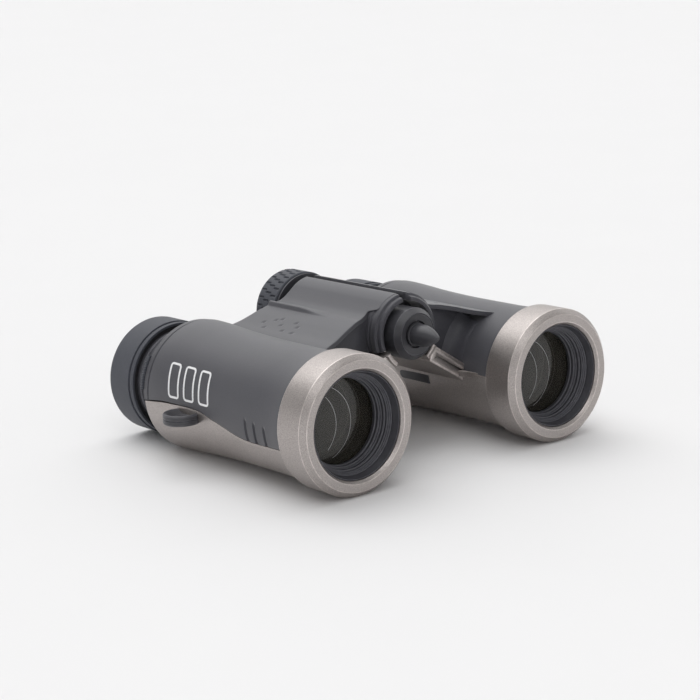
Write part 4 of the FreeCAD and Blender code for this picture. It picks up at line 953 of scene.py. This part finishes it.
def dioptre_ring(teeth):
    """Thin ring behind the rim, with a toothed lever on its outer side."""
    front, rear = station(DIOPTRE_LOW.y), station(DIOPTRE_HIGH.y)
    ring = rounded(spun(
        [(13.1, front), (14.2, front), (14.2, rear), (13.1, rear)], BARREL, 112), 0.12, 2, 40.0)
    lever = spun([(13.6, front), (17.05, front), (17.3, front + 0.2), (17.3, rear - 0.2), (17.05, rear),
                  (13.6, rear)], BARREL, teeth * 4, 5.0, 30.0)
    for vert in lever.verts:
        away = Vector((vert.co.x - BARREL_X, vert.co.z - BARREL_Z))
        if away.length > 16:
            angle = math.degrees(math.atan2(away.y, away.x)) - 5.0
            depth = 0.3 * (0.5 - 0.5 * math.cos(math.tau * teeth * angle / 30.0))
            vert.co.x -= away.x / away.length * depth
            vert.co.z -= away.y / away.length * depth
    return joined(ring, lever)


class BINOCULARS_OT_objectives(bpy.types.Operator):
    """Painted rings, black retainers, coated lenses and the baffles behind them"""
    bl_idname = "binoculars.objectives"
    bl_label = "Objectives"

    def execute(self, context):
        for side_name, side in SIDES.items():
            body = f"{side_name}_half"
            finished(f"{side_name}_front_ring", objective_ring(), side, body, "warm_grey_paint",
                     [f"{side_name}_objective_ring"], CRISP)
            finished(f"{side_name}_stepped_sleeve", retainer(), side, body, "black_anodised",
                     [f"{side_name}_objective_retainer"], CRISP)
            finished(f"{side_name}_front_lens", objective_lens(), side, body, "coated_glass",
                     [f"{side_name}_objective_crown_lens"])
            finished(f"{side_name}_light_baffle", light_baffle(), side, body, "inner_plastic",
                     [f"{side_name}_objective_cell", f"{side_name}_objective_flint_lens"])
            finished(f"{side_name}_baffle_edges", baffle_rings(), side, body, "steel")
            # Painted reflections: thin pale arcs on the glass that stand in for reflections in the lens.
            finished(f"{side_name}_painted_reflection_arcs", painted_reflection_arcs(side), side, body, "steel")
        return {"FINISHED"}


class BINOCULARS_OT_eyecups(bpy.types.Operator):
    """Rubber eyecups and the tubes they slide on"""
    bl_idname = "binoculars.eyecups"
    bl_label = "Eyecups"

    def execute(self, context):
        for side_name, side in SIDES.items():
            finished(f"{side_name}_rubber_cup", eyecup(), side, f"{side_name}_eyecup", "eyecup_rubber",
                     [f"{side_name}_eyecup"], CRISP)
            finished(f"{side_name}_guide_tube", eyecup_guide(), side, f"{side_name}_half", "black_anodised",
                     [f"{side_name}_eyecup_guide"])
        return {"FINISHED"}


class BINOCULARS_OT_dioptre(bpy.types.Operator):
    """Dioptre ring with its toothed lever"""
    bl_idname = "binoculars.dioptre"
    bl_label = "Dioptre ring"

    def execute(self, context):
        teeth = context.scene.binocular_grips.teeth
        finished("dioptre_lever_ring", dioptre_ring(teeth), RIGHT, "dioptre_ring", "eyecup_rubber", ["dioptre_ring"])
        return {"FINISHED"}


# ---------------------------------------------------------------- hinge

def nose_cap():
    front, rear = station(CAP_LOW.y), station(CAP_HIGH.y)
    outline = [
        (0.0, front + 1.7), (3.3, front + 1.7), (3.5, front + 0.5), (5.15, front + 0.3), (5.4, front),
        (6.6, front + 1.6), (6.6, rear), (0.0, rear),
    ]
    return rounded(spun(outline, HINGE, 112), 0.08, 2, 24.0)


def nose_cone():
    """The pointed screw: a bullet shape with a fine collar at its foot."""
    front = station(CONE_LOW.y)
    foot = front + 9.3
    outline = [(0.0, front)]
    for n in range(1, 13):
        share = n / 12
        outline.append((2.8 * (1 - (1 - share) ** 1.9) ** 0.92, front + 6.7 * share))
    outline += [(2.8, foot - 1.1), (3.0, foot - 1.0), (3.0, foot - 0.3), (0.0, foot - 0.3)]
    return spun(outline, HINGE, 72)


def wheel_grip(settings):
    """Rubber band of the focus wheel with three staggered rows of dashes, and its thin front lip."""
    front, rear = station(WHEEL_LOW.y), station(WHEEL_HIGH.y)
    radius = WHEEL_RADIUS
    face = spaced((front + 0.6, 0.2), (rear - 0.7, 1))
    outline = [(9.3, front + 0.35), (radius - 0.3, front + 0.35)] + [(radius, y) for y in face]
    outline += [(radius - 0.2, rear - 0.22), (radius - 0.7, rear), (9.3, rear)]
    bm = spun(outline, HINGE, 480)
    rows = [(front + 0.9, front + 3.3), (front + 3.2, front + 5.6), (front + 5.5, front + 7.8)]
    for vert in bm.verts:
        away = Vector((vert.co.x, vert.co.z - HINGE_Z))
        if away.length < radius - 0.05:
            continue
        turn = math.atan2(away.y, away.x) / math.tau * settings.dashes
        for index, (start, end) in enumerate(rows):
            offset = abs((turn + index / 3) % 1 - 0.5) * math.tau * radius / settings.dashes
            across = 1 - step(0.14, 0.34, offset)
            along = step(start, start + 0.3, vert.co.y) * (1 - step(end - 0.3, end, vert.co.y))
            depth = settings.dash_depth / MM * across * along
            vert.co.x -= away.x / away.length * depth
            vert.co.z -= away.y / away.length * depth
    return bm


class BINOCULARS_OT_nose(bpy.types.Operator):
    """Cap and pointed screw on the front of the hinge"""
    bl_idname = "binoculars.nose"
    bl_label = "Hinge nose"

    def execute(self, context):
        finished("hinge_nose", nose_cap(), LEFT, "right_half", "satin_black", ["nose_cap"], CRISP)
        finished("hinge_point", nose_cone(), LEFT, "right_half", "satin_black", ["nose_cone"])
        return {"FINISHED"}


class BINOCULARS_OT_wheel(bpy.types.Operator):
    """Dashed rubber band of the focus wheel"""
    bl_idname = "binoculars.wheel"
    bl_label = "Focus wheel"

    def execute(self, context):
        settings = context.scene.binocular_grips
        finished("wheel_rubber_band", wheel_grip(settings), LEFT, "focus_wheel", "wheel_rubber", ["wheel_grip"])
        return {"FINISHED"}


class BINOCULARS_OT_frame_finishes(bpy.types.Operator):
    """Finishes for the frame's own nodes that stay in view"""
    bl_idname = "binoculars.frame_finishes"
    bl_label = "Frame finishes"

    def execute(self, context):
        for part in frame["record"]["subparts"]:
            materials = frame["nodes"][part["node"]].data.materials
            materials.clear()
            # The hinge tube takes a dark finish here as painted shade for its gap.
            materials.append(finish_for(GAP_SHADE_FINISHES.get(part["node"], part["material_slot"])))
        return {"FINISHED"}


# ---------------------------------------------------------------- stage

def sweep_floor(lean):
    """A round pale floor that curves up all round, tilted so that the object rests on it."""
    outline = [
        (0.0, 0.0), (900.0, 0.0), (8000.0, 0.0), (9200.0, 150.0), (10100.0, 700.0), (10700.0, 1700.0),
        (11000.0, 3200.0)]
    bm = bmesh.new()
    verts = [bm.verts.new((radius, 0, height)) for radius, height in outline]
    edges = [bm.edges.new(pair) for pair in zip(verts, verts[1:])]
    bmesh.ops.spin(
        bm, geom=verts + edges, cent=(0, 0, 0), axis=(0, 0, 1), dvec=(0, 0, 0), angle=math.tau, steps=96,
        use_merge=True, use_duplicate=False)
    bmesh.ops.remove_doubles(bm, verts=bm.verts[:], dist=0.01)
    bmesh.ops.recalc_face_normals(bm, faces=bm.faces[:])
    if bm.faces[:][0].normal.z < 0:
        bmesh.ops.reverse_faces(bm, faces=bm.faces[:])
    bmesh.ops.scale(bm, vec=(MM, MM, MM), verts=bm.verts[:])
    turn = Matrix.Rotation(lean, 3, "X")
    bmesh.ops.rotate(bm, verts=bm.verts[:], cent=(0, (FRONT + 1.3) * MM, 0), matrix=turn)
    return bm


def floor_finish():
    finish = Finish("studio_floor", specular_ior_level=0.25)
    cloud = finish.noise(0.05, 2.0)
    finish.feed("Base Color", finish.blend(cloud, (0.80, 0.797, 0.80), (0.815, 0.812, 0.815)))
    finish.feed("Roughness", 0.62 + 0.1 * cloud)
    return finish.material


def soft_light(name, towards, spread, strength):
    """A broad, even light from a direction, as from a large soft box far away."""
    data = bpy.data.lights.new(name, "SUN")
    data.angle = spread
    data.energy = strength
    light = bpy.data.objects.new(name, data)
    light.location = towards
    light.rotation_euler = Vector(towards).to_track_quat("Z", "Y").to_euler()
    bpy.context.scene.collection.objects.link(light)


class BINOCULARS_OT_stage(bpy.types.Operator):
    """Pale floor, soft lights and the camera"""
    bl_idname = "binoculars.stage"
    bl_label = "Stage"

    def execute(self, context):
        settings = context.scene.binocular_stage
        bm = sweep_floor(settings.floor_lean)
        mesh = bpy.data.meshes.new("studio_sweep")
        bm.to_mesh(mesh)
        bm.free()
        mesh.polygons.foreach_set("use_smooth", [True] * len(mesh.polygons))
        mesh.materials.append(floor_finish())
        floor = bpy.data.objects.new("studio_sweep", mesh)
        context.scene.collection.objects.link(floor)

        world = bpy.data.worlds.new("studio_white")
        world.use_nodes = True
        world.node_tree.nodes["Background"].inputs["Color"].default_value = (1.0, 1.0, 1.0, 1.0)
        world.node_tree.nodes["Background"].inputs["Strength"].default_value = settings.sky
        context.scene.world = world
        soft_light("key_light", (-0.10, 0.25, 1.0), math.radians(64), settings.key_strength)
        soft_light("back_light", (0.60, 0.75, 0.50), math.radians(100), settings.back_strength)
        soft_light("front_light", (-0.38, -0.58, 0.80), math.radians(36), settings.front_strength)

        camera_data = bpy.data.cameras.new("studio_view")
        camera_data.lens = settings.lens
        camera_data.sensor_width = 36.0
        camera_data.clip_end = 20.0
        camera = bpy.data.objects.new("studio_view", camera_data)
        flat = math.cos(settings.elevation)
        back = Vector((
            math.sin(settings.azimuth) * flat, -math.cos(settings.azimuth) * flat, math.sin(settings.elevation)))
        camera.rotation_mode = "QUATERNION"
        camera.rotation_quaternion = back.to_track_quat("Z", "Y") @ Quaternion((0, 0, 1), settings.roll)
        camera.location = (-0.328233, -0.407091, 0.141024)
        context.scene.collection.objects.link(camera)
        context.scene.camera = camera
        context.scene.view_settings.view_transform = "Standard"
        return {"FINISHED"}


OPERATORS = (
    BINOCULARS_OT_frame_finishes,
    BINOCULARS_OT_upper_shells,
    BINOCULARS_OT_lower_shells,
    BINOCULARS_OT_strap_lugs,
    BINOCULARS_OT_side_mark,
    BINOCULARS_OT_objectives,
    BINOCULARS_OT_eyecups,
    BINOCULARS_OT_dioptre,
    BINOCULARS_OT_nose,
    BINOCULARS_OT_wheel,
    BINOCULARS_OT_stage,
)


class BINOCULARS_PT_panel(bpy.types.Panel):
    """Sizes, colours and one button for each piece"""
    bl_idname = "BINOCULARS_PT_panel"
    bl_label = "Compact binoculars"
    bl_space_type = "VIEW_3D"
    bl_region_type = "UI"
    bl_category = "Binoculars"

    def draw(self, context):
        scene = context.scene
        for group in (scene.binocular_shells, scene.binocular_grips, scene.binocular_finishes, scene.binocular_stage):
            column = self.layout.column(align=True)
            for name in group.bl_rna.properties.keys():
                if name not in ("rna_type", "name"):
                    column.prop(group, name)
        for operator in OPERATORS:
            self.layout.operator(operator.bl_idname)


SETTINGS = {
    "binocular_shells": ShellSettings,
    "binocular_grips": GripSettings,
    "binocular_finishes": FinishSettings,
    "binocular_stage": StageSettings,
}


def register():
    for group in SETTINGS.values():
        bpy.utils.register_class(group)
    for name, group in SETTINGS.items():
        setattr(bpy.types.Scene, name, bpy.props.PointerProperty(type=group))
    for kind in (*OPERATORS, BINOCULARS_PT_panel):
        bpy.utils.register_class(kind)


def unregister():
    for kind in reversed((*OPERATORS, BINOCULARS_PT_panel)):
        bpy.utils.unregister_class(kind)
    for name in SETTINGS:
        delattr(bpy.types.Scene, name)
    for group in SETTINGS.values():
        bpy.utils.unregister_class(group)


def main():
    register()
    for operator in OPERATORS:
        group, name = operator.bl_idname.split(".")
        getattr(getattr(bpy.ops, group), name)()


if __name__ == "__main__":
    main()
